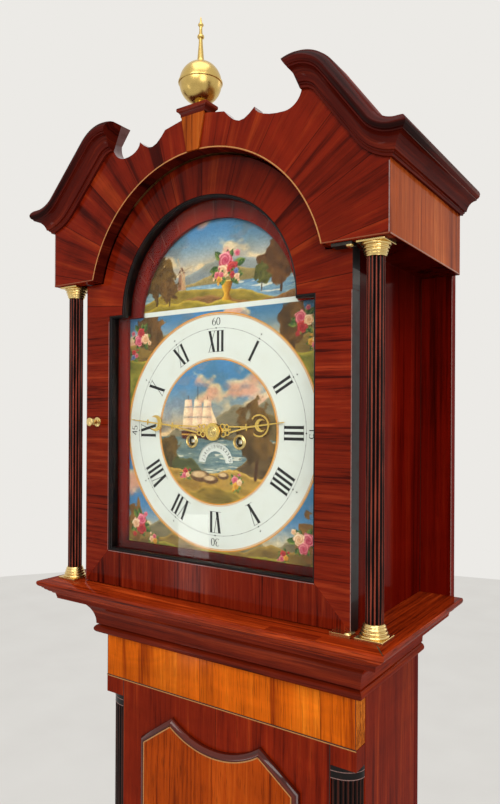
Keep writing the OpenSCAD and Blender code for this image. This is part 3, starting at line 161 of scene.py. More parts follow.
def lathe(name, profile, centre, material, body, axis="z", steps=72, smooth=40):
    # A profile of (radius, height) turned once round an axis through centre. A profile that comes back to
    # its first point is a ring and has no ends.
    p = np.asarray(profile, float)
    a = (np.arange(steps) * 2 * math.pi / steps)[:, None]
    r = np.maximum(p[:, 0], 1e-4)
    x, y, z = np.cos(a) * r, np.sin(a) * r, p[:, 1] + 0 * a
    verts = np.stack((x, y, z) if axis == "z" else (x, z, -y), -1) + np.asarray(centre, float)
    m = len(p)
    faces = rows(steps, m, closedU=True)
    if not np.allclose(p[0], p[-1]):
        faces += [list(range((steps - 1) * m, -1, -m)), list(range(m - 1, steps * m, m))]
    uv = np.stack([z, np.degrees(a) + 0 * z], -1).reshape(-1, 2)
    return addMesh(name, verts.reshape(-1, 3), faces, material, body, uv, smooth)


def prisms(name, outlines, y0, y1, material, body, smooth=20, bevel=0, lying=False):
    # Flat shapes as one piece, each an outline in x and z between two depths, or for a lying piece
    # an outline in x and y between two heights.
    verts, faces, k = [], [], 0
    for line in outlines:
        n = len(line)
        verts += [np.insert(np.asarray(line, float), 1, depth, axis=1) for depth in (y0, y1)]
        i = np.arange(n)
        j = (i + 1) % n
        faces += [(k + i).tolist(), (k + n + i[::-1]).tolist()]
        faces += (k + np.stack([i, j, j + n, i + n], -1)).tolist()
        k += 2 * n
    verts = np.vstack(verts)
    if lying:
        verts = verts[:, [0, 2, 1]]
    return addMesh(name, verts, faces, material, body, smooth=smooth, bevel=bevel)


def slab(name, outline, y0, y1, material, body, bevel=0.3):
    return prisms(name, [outline], y0, y1, material, body, 30, bevel)


def rect(x0, x1, z0, z1):
    return [(x0, z0), (x1, z0), (x1, z1), (x0, z1)]


def dressed(node, material, bevel=0.8):
    # A merged copy of a node with eased edges, which stands for the node.
    source = nodes[node]
    obj = linked(node + "Wood", source.data.copy())
    cleaned(obj, merge=True)
    fitted(obj, material, source["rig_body"], 30, bevel, 40)
    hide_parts(node)
    return obj


def recoat(node, material):
    # A node that stays as it is, in its own finish.
    mesh = nodes[node].data
    mesh.materials.clear()
    mesh.materials.append(material)


def frontOf(node):
    # The y in millimetres of a node's foremost point.
    obj = nodes[node]
    return min((obj.matrix_world @ v.co).y for v in obj.data.vertices) * 1000


class Wire:
    # An output in a shader tree. Sums and products of wires and numbers are Math nodes.
    def __init__(self, socket):
        self.socket, self.tree = socket, socket.id_data

    def __add__(self, other):
        return calc("ADD", self, other)

    def __mul__(self, other):
        return calc("MULTIPLY", self, other)

    def __sub__(self, other):
        return calc("SUBTRACT", self, other)

    def __rsub__(self, other):
        return calc("SUBTRACT", other, self)

    def __truediv__(self, other):
        return calc("DIVIDE", self, other)

    __radd__, __rmul__ = __add__, __mul__


def fill(node, inputs):
    # Sets sockets, by name or number, from wires or to plain values.
    for key, source in inputs.items():
        if isinstance(source, Wire):
            node.id_data.links.new(source.socket, node.inputs[key])
        else:
            node.inputs[key].default_value = source


def put(tree, kind, inputs=None, **settings):
    n = tree.nodes.new("ShaderNode" + kind)
    for key, value in settings.items():
        setattr(n, key, value)
    fill(n, inputs or {})
    return n


def wire(tree, kind, inputs=None, key=0, **settings):
    # One output of a new node.
    return Wire(put(tree, kind, inputs, **settings).outputs[key])


def calc(operation, a, b=0.0):
    tree = a.tree if isinstance(a, Wire) else b.tree
    return wire(tree, "Math", {0: a, 1: b}, operation=operation)


def spread(value, low, high, toLow=0.0, toHigh=1.0):
    # A smooth step from one level of a wire to another.
    return wire(value.tree, "MapRange", {0: value, 1: low, 2: high, 3: toLow, 4: toHigh},
                interpolation_type="SMOOTHSTEP")


def split(place):
    return [Wire(s) for s in put(place.tree, "SeparateXYZ", {0: place}).outputs]


def mixColour(tree, factor, a, b, blend="MIX"):
    return wire(tree, "Mix", {0: factor, 6: a, 7: b}, 2, data_type="RGBA", blend_type=blend)


def noise(place, scale, stretch=(1, 1, 1), detail=3.0, distortion=0.0, roughness=0.5):
    v = wire(place.tree, "VectorMath", {0: place, 1: stretch}, operation="MULTIPLY")
    return wire(place.tree, "TexNoise", {"Vector": v, "Scale": scale, "Detail": detail,
                                         "Distortion": distortion, "Roughness": roughness}, "Fac")


def objectPlace(tree):
    return wire(tree, "TexCoord", key="Object")


def newGroup(name, ins, outs):
    # A node group whose sockets are listed by kind. What comes in is given as wires by name.
    g = bpy.data.node_groups.new(name, "ShaderNodeTree")
    for way, sockets in (("INPUT", ins), ("OUTPUT", outs)):
        for kind, labels in sockets.items():
            for label in labels.split():
                g.interface.new_socket(label, in_out=way, socket_type="NodeSocket" + kind)
    start, end = g.nodes.new("NodeGroupInput"), g.nodes.new("NodeGroupOutput")
    return g, {s.name: Wire(s) for s in start.outputs if s.name}, end


finishSockets = dict(Color="colour", Float="rough height")


def woodGroup():
    # Grain runs along z. Broad bands and fine streaks choose between three colours, short dark pores
    # darken them, a soft cross figure shades them, and leaves of veneer along x differ and show joints.
    g, i, end = newGroup("woodGrain", dict(Vector="place", Color="dark mid light", Float=(
        "band streaks streak figure pores leaf change rough")), finishSockets)
    x, y, z = split(i["place"])
    across = x / i["leaf"]
    chance = wire(g, "TexWhiteNoise", {"W": calc("FLOOR", across)}, "Value", noise_dimensions="1D")
    shift = chance * 3.1
    v = wire(g, "CombineXYZ", {0: x, 1: y + shift, 2: z + shift})
    broad = noise(v, i["band"], (1, 1, 0.09), 4, 1.3)
    streak = noise(v, i["streaks"], (1, 1, 0.03), 5, 0.3, 0.62)
    fibre = noise(v, 1000.0, (1, 1, 0.035), 2)
    figure = noise(v, 17.0, (0.4, 0.4, 1.0), 3, 1.0)
    tone = broad * (1.0 - i["streak"]) + streak * i["streak"]
    colour = mixColour(g, spread(tone, 0.34, 0.5), i["dark"], i["mid"])
    colour = mixColour(g, spread(tone, 0.5, 0.68), colour, i["light"])
    pores = spread(fibre, 0.56, 0.7) * i["pores"]
    swing = (figure - 0.5) * (i["figure"] * 4.0)
    change = (chance - 0.5) * (i["change"] * 2.0)
    seam = spread(calc("PINGPONG", across, 0.5) * i["leaf"], 0.0002, 0.0007, 0.35, 1.0)
    bright = (1.0 - pores) * (1.0 + swing) * (1.0 + change) * seam
    shade = wire(g, "CombineColor", {0: bright, 1: bright, 2: bright})
    fill(end, dict(colour=mixColour(g, 1.0, colour, shade, "MULTIPLY"),
                   rough=i["rough"] + (streak - 0.5) * 0.3,
                   height=(streak * 0.5 + (fibre - pores) * 0.4) * seam))
    return g


def metalGroup():
    # Polished metal: slow clouds of tarnish between two colours, fine turning marks and small spots.
    g, i, end = newGroup("oldMetal", dict(Vector="place", Color="bright tarnish", Float="amount rough"),
                         finishSockets)
    cloud = noise(i["place"], 60.0, (1, 1, 1), 5, 0.5, 0.6)
    spots = noise(i["place"], 520.0)
    lines = noise(i["place"], 900.0, (0.15, 0.15, 1), 2)
    mask = calc("MAXIMUM", spread(cloud, 0.45, 0.75) * i["amount"], spread(spots, 0.66, 0.78) * i["amount"])
    fill(end, dict(colour=mixColour(g, mask, i["bright"], i["tarnish"]),
                   rough=i["rough"] + mask * 0.3 + lines * 0.06, height=lines * 0.5 + spots))
    return g


def roundGroup():
    # A place as an angle's arc (x), depth (y) and radius (z) round an axis along y.
    g, i, end = newGroup("roundAxis", dict(Vector="place centre", Float="arcRadius"), dict(Vector="place"))
    x, y, z = split(wire(g, "VectorMath", {0: i["place"], 1: i["centre"]}, operation="SUBTRACT"))
    arc = calc("ARCTAN2", x, z) * i["arcRadius"]
    fill(end, dict(place=wire(g, "CombineXYZ", {0: arc, 1: y, 2: calc("SQRT", x * x + z * z)})))
    return g


groups = dict(wood=woodGroup(), metal=metalGroup(), round=roundGroup())


def newMaterial(name):
    m = bpy.data.materials.new(name)
    m.use_nodes = True
    return m, m.node_tree, m.node_tree.nodes["Principled BSDF"]


def finishBy(group, shader, bump, inputs):
    # A group's colour, roughness and height on a shader. Gives back the colour.
    tree = shader.id_data
    n = put(tree, "Group", inputs, node_tree=groups[group])
    colour, rough, height = (Wire(s) for s in n.outputs)
    bumps = wire(tree, "Bump", {"Height": height, "Strength": bump, "Distance": 0.0001})
    fill(shader, {"Base Color": colour, "Roughness": rough, "Normal": bumps})
    return colour


def along(tree, grain, centre=(0, 0, 0), arcRadius=0.2, turn=0.0):
    # The place on the surface, arranged so that the grain runs along its z.
    if grain == "u":
        u, v, w = split(wire(tree, "TexCoord", key="UV"))
        return wire(tree, "CombineXYZ", {0: v, 2: u})
    place = objectPlace(tree)
    if grain == "round":
        return wire(tree, "Group", dict(place=place, centre=centre, arcRadius=arcRadius),
                    node_tree=groups["round"])
    turns = {"z": (0, turn, 0), "x": (0, math.pi / 2 + turn, 0), "y": (math.pi / 2, 0, 0)}[grain]
    return wire(tree, "Mapping", {"Vector": place, "Rotation": turns})


# Each wood's dark, middle and light colour from 0 to 255, how it is figured, and its polish.
woodKeys = ("dark", "mid", "light", "band", "streaks", "streak", "figure", "pores", "rough", "coat")
woods = dict(
    mahogany=((66, 8, 3), (130, 33, 9), (168, 61, 21), 20, 150, 0.45, 0.16, 0.35, 0.3, 0.12),
    redBoard=((62, 4, 2), (108, 14, 4), (134, 32, 12), 14, 120, 0.4, 0.1, 0.3, 0.34, 0.1),
    flame=((56, 8, 3), (126, 30, 10), (186, 78, 27), 26, 120, 0.35, 0.22, 0.3, 0.28, 0.14),
    crossband=((52, 7, 4), (114, 28, 10), (146, 50, 22), 30, 210, 0.6, 0.12, 0.35, 0.28, 0.14),
    moulding=((34, 6, 4), (82, 20, 12), (126, 42, 22), 18, 140, 0.5, 0.1, 0.3, 0.26, 0.14),
    rimWood=((40, 8, 4), (92, 26, 12), (132, 48, 24), 18, 140, 0.5, 0.1, 0.3, 0.26, 0.75),
    crestWood=((60, 9, 3), (118, 28, 10), (154, 54, 20), 26, 150, 0.35, 0.18, 0.3, 0.28, 0.14),
    coveWood=((48, 9, 4), (106, 29, 11), (160, 58, 24), 18, 150, 0.5, 0.1, 0.3, 0.26, 0.16),
    sillWood=((60, 8, 3), (142, 43, 11), (204, 80, 28), 16, 170, 0.6, 0.14, 0.6, 0.26, 0.24),
    satinwood=((138, 46, 2), (212, 98, 9), (248, 140, 30), 12, 230, 0.38, 0.34, 0.4, 0.32, 0.12),
    doorWood=((108, 32, 3), (172, 67, 9), (206, 94, 22), 15, 150, 0.55, 0.16, 0.6, 0.3, 0.12),
    # The next wood, for the cornice's returns, is paler than the boards beside it: a painted highlight of the
    # light on them.
    returnWood=((112, 36, 12), (178, 80, 32), (218, 122, 62), 16, 170, 0.5, 0.12, 0.3, 0.3, 0.1),
    satinEnd=((122, 48, 6), (206, 108, 20), (244, 148, 50), 30, 260, 0.7, 0.1, 0.7, 0.34, 0.1),
    keyWood=((112, 42, 8), (168, 78, 20), (198, 108, 38), 20, 190, 0.5, 0.1, 0.4, 0.3, 0.14),
    pine=((128, 82, 44), (166, 114, 66), (192, 142, 90), 12, 90, 0.35, 0.06, 0.2, 0.6, 0.0),
)


def wood(kind, grain, leaf=50.0, change=0.12, paintedShade=None, **where):
    # The height darkening, a share between two heights in metres, is painted shade, deepest at the second
    # height.
    m, tree, shader = newMaterial("%s-%s-%d" % (kind, grain, len(bpy.data.materials)))
    look = dict(zip(woodKeys, woods[kind]), leaf=leaf, change=change, place=along(tree, grain, **where))
    look.update({shade: linear(*look[shade]) for shade in ("dark", "mid", "light")})
    fill(shader, {"Coat Weight": look.pop("coat"), "Coat Roughness": 0.1, "Specular IOR Level": 0.0})
    colour = finishBy("wood", shader, 0.25, look)
    if paintedShade:
        low, high, share = paintedShade
        shade = spread(split(objectPlace(tree))[2], low, high, 0.0, share)
        fill(shader, {"Base Color": mixColour(tree, shade, colour, linear(16, 3, 3))})
    return m


def metal(name, bright, tarnish, amount=0.4, rough=0.22, bump=0.15):
    m, tree, shader = newMaterial(name)
    finishBy("metal", shader, bump, dict(place=objectPlace(tree), bright=linear(*bright), amount=amount,
                                         tarnish=linear(*tarnish), rough=rough))
    fill(shader, {"Metallic": 1.0})
    return m


def painted(name, colour, wornColour, rough=0.4, coat=0.0, scale=90.0, amount=0.5, bump=0.15):
    # Paint, ebony stain, gut or enamel: two tones in slow and fine clouds.
    m, tree, shader = newMaterial(name)
    place = wire(tree, "VectorMath", {0: objectPlace(tree), 1: (scale / 60,) * 3}, operation="MULTIPLY")
    finishBy("metal", shader, bump, dict(place=place, bright=linear(*colour), tarnish=linear(*wornColour),
                                         amount=amount, rough=rough))
    fill(shader, {"Coat Weight": coat, "Specular IOR Level": 0.12})
    return m


def clearGlass():
    # A clear pane that lets the lamps' light through without a shadow.
    m, tree, shader = newMaterial("clearGlass")
    clear = 1.0 - wire(tree, "LightPath", key="Is Shadow Ray")
    fill(shader, {"Base Color": linear(246, 250, 248), "Transmission Weight": 1.0, "Roughness": 0.0,
                  "IOR": 1.2, "Alpha": clear})
    return m


brass = metal("polishedBrass", (226, 198, 132), (150, 116, 62), 0.35, 0.2)
finialBrass = metal("finialGilding", (208, 178, 106), (150, 116, 60), 0.22, 0.24, 0.04)
goldHands = metal("gildedHands", (236, 196, 104), (176, 126, 50), 0.3, 0.24)
plateBrass = metal("plateBrass", (206, 166, 92), (142, 102, 50), 0.5, 0.3)
steel = metal("bluedSteel", (122, 120, 118), (70, 62, 56), 0.5, 0.3)
brightSteel = metal("brightSteel", (196, 190, 178), (140, 132, 120), 0.4, 0.25)
iron = metal("castIron", (62, 58, 54), (40, 30, 24), 0.7, 0.5)
bellMetal = metal("bellMetal", (196, 170, 120), (120, 96, 60), 0.4, 0.28)
ebony = painted("ebonisedWood", (13, 9, 9), (50, 24, 19), 0.28, 0.14, 60, 0.5)
gut = painted("gutLine", (176, 140, 84), (120, 86, 44), 0.5, 0.1, 300, 0.6)
whiteEnamel = painted("whiteEnamel", (202, 204, 198), (190, 188, 176), 0.3, 0.2, 40, 0.4, 0.05)
inkBlack = painted("dialInk", (22, 20, 22), (60, 56, 54), 0.4, 0.2, 200, 0.4, 0.05)
goldPaint = painted("goldPaint", (204, 138, 48), (170, 100, 26), 0.32, 0.4, 120, 0.5, 0.1)
stringing = painted("boxwoodString", (190, 134, 76), (142, 80, 40), 0.35, 0.3, 400, 0.6)
dimString = painted("dimString", (138, 76, 44), (92, 40, 24), 0.35, 0.3, 400, 0.6)
# A thin pale lilac line: a painted highlight along edges, corners and rings.
paintedHighlightLine = painted("paintedHighlightLine", (150, 118, 112), (84, 44, 38), 0.3, 0.5, 260, 0.6)
# A pale lilac glossy finish: a painted highlight on edges that face up and to the right.
paintedHighlightEdge = painted("paintedHighlightEdge", (126, 96, 98), (70, 34, 30), 0.3, 0.9, 60, 0.5)
darkString = painted("darkString", (40, 14, 8), (70, 30, 16), 0.35, 0.4, 300, 0.5)
paleJoint = painted("paleJoint", (138, 82, 66), (108, 52, 40), 0.5)
glass = clearGlass()
print("materials ready")


view = dict(place=(0.5504, -0.7937, 1.7810), yaw=34.2, pitch=0.1, roll=0.3, lens=29.75, shift=0.0185)


def addCamera():
    # Looks along (-sin yaw, cos yaw), with the photograph's horizon a little below its middle.
    data = bpy.data.cameras.new("camera")
    cam = linked("camera", data)
    cam.location = view["place"]
    yaw, pitch, roll = (math.radians(view[k]) for k in ("yaw", "pitch", "roll"))
    turn = (Matrix.Rotation(yaw, 4, "Z") @ Matrix.Rotation(math.pi / 2 + pitch, 4, "X")
            @ Matrix.Rotation(roll, 4, "Z"))
    cam.rotation_euler = turn.to_euler()
    data.sensor_width = 36
    data.lens, data.shift_y = view["lens"], view["shift"]
    data.clip_start, data.clip_end = 0.01, 100
    bpy.context.scene.camera = cam


# Each lamp's place and aim in metres, its width and height, its power and its colour.
lamps = dict(
    keyWindow=((0.7, -3.3, 3.45), (0, 0, 1.7), 2.0, 1.4, 43, (1.0, 0.97, 0.92)),
    fillWindow=((2.6, -2.2, 2.4), (0.1, 0, 1.6), 1.4, 1.8, 33, (1.0, 0.97, 0.94)),
    highWindow=((1.35, 3.0, 3.1), (0.27, 0, 2.0), 0.8, 1.0, 4, (1.0, 0.86, 0.72)),
    lowWindow=((-2.46, -3.1, 0.56), (0, 0, 1.6), 0.22, 1.05, 3.2, (1.0, 0.98, 0.96)),
    topSoft=((0.4, -0.6, 4.2), (0, 0, 1.6), 2.0, 2.0, 28, (1, 1, 1)),
)


def addLamps():
    for name, (place, aim, width, height, power, colour) in lamps.items():
        data = bpy.data.lights.new(name, "AREA")
        data.shape, data.size, data.size_y = "RECTANGLE", width, height
        data.energy, data.color = power, colour
        lamp = linked(name, data)
        lamp.location = place
        lamp.rotation_euler = (Vector(aim) - Vector(place)).to_track_quat("-Z", "Y").to_euler()


def seenRays(tree):
    # One for what the camera sees straight, in a mirror or through glass, and nought for other light.
    path = put(tree, "LightPath").outputs
    camera, glossy, through = (Wire(path["Is %s Ray" % k]) for k in ("Camera", "Glossy", "Transmission"))
    return calc("MAXIMUM", calc("MAXIMUM", camera, glossy), through)


stage = dict(floorR=7.0, floorZ=-0.0005, floorGlow=0.72, skyStrength=0.42)


def addStage():
    scene = bpy.context.scene
    scene.view_settings.view_transform = "Standard"
    world = bpy.data.worlds.new("studio")
    scene.world = world
    world.use_nodes = True
    tree = world.node_tree
    tree.nodes.clear()
    seen = seenRays(tree)
    soft = wire(tree, "Background", {0: (1.0, 0.985, 0.96, 1), 1: stage["skyStrength"]})
    plain = wire(tree, "Background", {0: linear(236, 234, 230), 1: 1.0})
    put(tree, "OutputWorld", {0: wire(tree, "MixShader", {0: seen, 1: soft, 2: plain})})
    n, r = 96, stage["floorR"]
    a = np.arange(n) * 2 * math.pi / n
    ring = np.stack([r * np.cos(a), r * np.sin(a), np.full(n, stage["floorZ"])], -1)
    mesh = bpy.data.meshes.new("floor")
    mesh.from_pydata(ring.tolist(), [], [tuple(range(n))])
    floor = linked("floor", mesh)
    m, tree, shader = newMaterial("paleFloor")
    mottle = noise(objectPlace(tree), 3.0, detail=4)
    tone = mixColour(tree, mottle, linear(226, 223, 218), linear(236, 234, 229))
    fill(shader, {"Base Color": tone, "Roughness": 0.7})
    glow, share = wire(tree, "Emission", {0: tone, 1: 1.0}), seenRays(tree) * stage["floorGlow"]
    mix = wire(tree, "MixShader", {0: share, 1: Wire(shader.outputs[0]), 2: glow})
    fill(tree.nodes["Material Output"], {0: mix})
    mesh.materials.append(m)


addCamera()
addLamps()
addStage()


def oval(cx, cz, rx, rz, start, end, n=22):
    # Points of an ellipse at equal steps between two angles in degrees from the x axis.
    a = np.radians(np.linspace(start, end, n))
    return np.stack([cx + rx * np.cos(a), cz + rz * np.sin(a)], -1)


def arcPoints(cx, cz, r, start, end, n):
    return oval(cx, cz, r, r, start, end, n + 1)


def mitres(points):
    # For each corner of a closed outline that runs anticlockwise, the outward step of a unit offset.
    p = np.asarray(points, float)
    t = np.roll(p, -1, 0) - p
    t /= np.linalg.norm(t, axis=1)[:, None]
    n = np.stack([t[:, 1], -t[:, 0]], -1)
    s = n + np.roll(n, 1, 0)
    return s / np.maximum(0.25, (s * n).sum(1))[:, None]


def framing(name, outline, profile, material, body, smooth=35):
    # A closed profile of (outward, y) carried round a closed outline in x and z, mitred at its corners.
    p, step, q = np.asarray(outline, float)[:, None], mitres(outline)[:, None], np.asarray(profile, float)
    x, z = (p[..., k] + step[..., k] * q[:, 0] for k in (0, 1))
    return swept(name, np.stack([x, q[:, 1] + 0 * x, z], -1), material, body, smooth, closed=True)


def strip(name, path, width, y, material, body, thick=0.12):
    # A flat inlaid line along an open path in x and z, a little proud of the plane y.
    p = np.asarray(path, float)
    t = np.gradient(p, axis=0)
    n = np.stack([t[:, 1], -t[:, 0]], -1) * width / 2 / np.linalg.norm(t, axis=1)[:, None]
    edges = ((p + n, y), (p - n, y), (p - n, y - thick), (p + n, y - thick))
    rings = np.stack([np.insert(edge, 1, depth, axis=1) for edge, depth in edges], 1)
    return swept(name, rings, material, body)


def aroundCase(name, profile, x0, dx, y0, dy, material, body, slot="dark_moulding"):
    # A mitred moulding round the front and both sides. A profile point is (share out, z).
    p = np.asarray(profile, float)
    x, y, z = x0 + dx * p[:, 0], y0 - dy * p[:, 0], p[:, 1]
    back = backY + 0 * x
    rings = [np.stack(corner, -1) for corner in ((-x, back, z), (-x, y, z), (x, y, z), (x, back, z))]
    return swept(name, rings, material, body, 30)


def sideFinish(obj, material, pick):
    # Another finish on the faces that pick(normal, centre in metres) chooses.
    k = len(obj.data.materials)
    obj.data.materials.append(material)
    for f in obj.data.polygons:
        if pick(f.normal, f.center):
            f.material_index = k


horns = dict(right=dict(side=1, peak=164, slope=53, foot=30, tip=145.5, rise=104.0),
             left=dict(side=-1, peak=148, slope=46, foot=46, tip=131.5, rise=99.5), crown=58.0, hollowR=24,
             hollowX=7, hollowZ=73,
             profile=[(0, 0), (15, 0), (19.6, 0.9), (23.2, 3), (25.8, 6), (27, 9.6), (26.4, 12.8),
                      (24.6, 15), (22.8, 15.7), (22.6, 17.3), (21, 17.6), (17.8, 18.4), (15, 20),
                      (12.6, 22.4), (10.7, 25.4), (9.4, 28.6), (8.9, 30.8), (6.6, 31.2), (6.4, 32.8),
                      (4.6, 33.6), (3.8, 36), (0, 36)])


def hornCentres(h):
    # The crown's circle, and the foot's circle that the straight slope runs into.
    slope, r = math.radians(h["slope"]), horns["crown"]
    crown = np.array([h["peak"], topZ + h["rise"] - r])
    z = topZ + h["foot"]
    p = crown + r * np.array([math.sin(slope), math.cos(slope)])
    q = z - h["foot"] * math.cos(slope)
    return crown, np.array([p[0] + (p[1] - q) / math.tan(slope) + h["foot"] * math.sin(slope), z])


def hornEdge(h, out, down):
    # The horn's line at a depth below its top, from the tip over the crown and down to the mitre, for
    # one profile point: points of two circles joined by a straight slope.
    crown, foot = hornCentres(h)
    x = fasciaX + out
    r = horns["crown"] - down
    # The hollow end: straight from the tip to a small circle, then down round that circle.
    top = crown[1] + math.sqrt(horns["crown"] ** 2 - (h["tip"] - crown[0]) ** 2)
    hollow = arcPoints(h["tip"] - horns["hollowX"], topZ + horns["hollowZ"], horns["hollowR"], 8, -80, 60)
    ends = np.vstack([[h["tip"], top], hollow])
    gap = np.hypot(*(ends - crown).T)
    k = int(np.argmax(gap < r)) if gap[0] > r + 1e-6 else 0
    t = (gap[k - 1] - r) / (gap[k - 1] - gap[k]) if k else 0
    tip = ends[k - 1] + (ends[k] - ends[k - 1]) * t if k else ends[0]
    first = math.degrees(math.atan2(tip[1] - crown[1], tip[0] - crown[0]))
    over = arcPoints(*crown, r, first, 90 - h["slope"], 30)
    big = h["foot"] + down
    k = (x - foot[0]) / big
    end = 270 + (math.degrees(math.asin(k)) if k < 0 else 0)
    under = arcPoints(*foot, big, 270 - h["slope"], end, 16)[:-1]
    z = foot[1] - big * (math.sqrt(1 - k * k) if k < 0 else 1)
    slope = over[-1] + (under[0] - over[-1]) * np.linspace(0, 1, 8)[1:-1, None]
    return np.vstack([over, slope, under, [[x, z]]])


def addHorns():
    dark = wood("moulding", "u")
    for name in ("right", "left"):
        h = horns[name]
        lines = np.array([hornEdge(h, out, down) for out, down in horns["profile"]])
        y = faceY - np.array(horns["profile"])[:, :1] + 0 * lines[..., 0]
        rings = np.stack([lines[..., 0], y, lines[..., 1]], -1).swapaxes(0, 1)
        back = rings[-1:].copy()
        back[..., 1] = backY
        obj = swept(name + "Horn", np.concatenate([rings, back]) * (h["side"], 1, 1), dark, "hood",
                    smooth=28)
        if name == "right":
            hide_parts("horn_mouldings")


def addFascia():
    veneer = wood("crestWood", "round", leaf=0.062, change=0.1, centre=(0, 0, archZ / 1000), arcRadius=0.23)
    fascia = dressed("hood_fascia", veneer, 0.5)
    # Scallop edges and the left horn's end that face right and up: a painted highlight.
    sideFinish(fascia, paintedHighlightEdge, lambda n, c: abs(n.y) < 0.2 and n.x > 0.12 and (n.z > 0.1 or c.x < -0.1)
               and abs(c.x) < 0.17)
    # The arch's underside in the darker moulding wood: painted shade under the fascia.
    sideFinish(fascia, wood("moulding", "y"),
               lambda n, c: abs(n.y) < 0.2 and math.hypot(c.x, c.z - archZ / 1000) < archR / 1000 + 0.0015)
    # The returns in the paler wood: a painted highlight of the light on them.
    sideFinish(fascia, wood("returnWood", "z", leaf=0.3), lambda n, c: abs(n.x) > 0.9 and abs(c.x) > 0.265)
    r, low = archR + 1.5, fasciaZ + 1.2 - archZ
    a = math.degrees(math.asin(low / (r - 0.1)))
    strip("archString", arcPoints(0, archZ, r, a, 180 - a, 120), 1.5, faceY, stringing, "hood")
    x0, x1 = math.sqrt(r * r - low * low), fasciaX - 0.8
    for label, side in sides:
        path = [(side * x, fasciaZ + 1.4) for x in (x0, (x0 + x1) / 2, x1)]
        strip("fasciaString" + label, path, 1.2, faceY, dimString, "hood")


crest = dict(keyTop=415.0, keyFootX=10.0, keyTopX=19.0, capBack=18.0, finialZ=427.0, finialY=14.0, ballR=28.0)


def addKeystone():
    # The wedge above the arch, its moulded cap and the ball and spire on top.
    top, foot, back = dialZ + crest["keyTop"], archZ + archR + 0.3, faceY + crest["capBack"]
    narrow, key = crest["keyFootX"], crest["keyTopX"]
    slab("keystone", [(-narrow, foot), (narrow, foot), (key, top), (-key, top)], faceY - 3, faceY - 0.02,
         wood("keyWood", "z"), "hood", bevel=0.5)
    # How far the cap stands out at its sides, in front and behind, at each height.
    steps = np.array([(1, 3, 0, 0), (1, 3, 0, 3), (1.6, 3.4, 0, 3.6), (3.4, 4.4, 0.6, 6.2),
                      (5.4, 5.6, 1.4, 7.4), (6, 6, 2, 8.2), (6, 6, 2, 11.2), (5.4, 5.4, 1.6, 12)])
    w, front, rear, z = key + steps[:, 0], faceY - steps[:, 1], back + steps[:, 2], top + steps[:, 3]
    corners = ((-w, front, z), (w, front, z), (w, rear, z), (-w, rear, z))
    rings = np.stack([np.stack(corner, -1) for corner in corners], 1)
    cap = swept("crestCap", rings, wood("moulding", "u"), "hood", smooth=30,
                uv=rings[..., [0, 2]], bevel=0.4)
    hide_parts("crest_cap")
    ball, c = crest["ballR"], crest["ballR"] + 7
    low, high = (arcPoints(0, c, ball, *span, 25).tolist() for span in ((-76, -4), (4, 74)))
    seam = [(28.5, c - 1.7), (29.2, c - 1.2), (29.5, c), (29.2, c + 1.2), (28.5, c + 1.7)]
    neck = [(0, 0), (10, 0), (11, 0.5), (11, 1.6), (9.4, 2.3), (6.8, 3), (5, 4.4), (4.6, 6.2), (5.6, 7.4),
            (6.6, 7.8)]
    spire = [(6.8, c + 27.4), (5.6, c + 28.6), (4.8, c + 30.4), (4.3, c + 33), (3.7, 75), (2.9, 85),
             (2.5, 92), (2.5, 93.6), (3.8, 94.4), (4.6, 95.8), (4.6, 97.2), (3.8, 98.6), (2.5, 99.4),
             (2.1, 104), (2.0, 109), (2.6, 110.4), (3.6, 111.4), (3.8, 112.4), (3.2, 113.6), (2.0, 114.6),
             (1.5, 117), (0.9, 121), (0.35, 122.9), (0, 123)]
    place = (0, faceY + crest["finialY"], dialZ + crest["finialZ"])
    profile = neck + low + seam + high + spire
    finial = lathe("finialBrass", profile, place, finialBrass, "hood", steps=96)
    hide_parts("finial")


def reedMaterial(name, crestColour):
    # Black hollows and reddish brown crests, the stain worn off and a painted highlight on each reed's crest:
    # v is 10 mm for one reed.
    m, tree, shader = newMaterial(name)
    u, v, w = split(wire(tree, "TexCoord", key="UV"))
    place = objectPlace(tree)
    worn = noise(place, 130.0, (1, 1, 0.12), 4)
    level = calc("PINGPONG", v, 0.005) * 200.0 + (worn - 0.5) * 1.1
    colour = mixColour(tree, spread(level, 0.5, 0.95), linear(15, 9, 9), linear(*crestColour))
    rough = spread(noise(place, 420.0, (1, 1, 0.1), 3), 0.3, 0.7, 0.24, 0.42)
    fill(shader, {"Base Color": colour, "Roughness": rough, "Coat Weight": 0.07, "Coat Roughness": 0.12,
                  "Specular IOR Level": 0.05})
    return m


def reedRing(rx, ry, start, end, n, depth, steps=9):
    # The outline of n reeds on an oval: radius falls by the depth times one less the sine over each reed.
    k = np.arange(n * steps) / steps
    a = np.radians(start + (end - start) * k / n)
    q = depth * (1 - np.sin(np.pi * (k % 1)))
    return np.stack([(rx - q) * np.cos(a), (ry - q) * np.sin(a)], -1), k * 10


def reeded(name, ring, v, heights, centre, material, body, draw=1.0):
    # A reeded outline in x and y carried up through some heights, drawn in by a share at both ends.
    share = np.ones((len(heights), 1, 1))
    share[[0, -1]] = draw
    flat = ring * share + centre
    z, v = np.broadcast_arrays(np.asarray(heights)[:, None], v)
    return swept(name, np.dstack([flat, z]), material, body, 60, uv=np.stack([z, v], -1))


columns = dict(x=247.5, y=21.0, shaft=10.6, plinth=17.2, plinthT=3.0, brass=18.0, reeds=14, depth=1.6,
               turned=[(0, 2.6), (15.4, 2.6), (16.6, 3.1), (17.0, 4.2), (16.6, 5.3), (15.2, 5.9),
                       (14.4, 6.2), (14.3, 7.2), (14.9, 7.6), (15.2, 8.5), (14.8, 9.3), (13.9, 9.7),
                       (13.3, 10), (13.2, 11), (13.8, 11.4), (14, 12.1), (13.6, 12.8), (12.8, 13.2),
                       (12.4, 13.6), (12.3, 14.4), (12.8, 14.8), (12.9, 15.4), (12.5, 16), (11.9, 16.4),
                       (11.6, 17), (11.5, 18), (0, 18)])


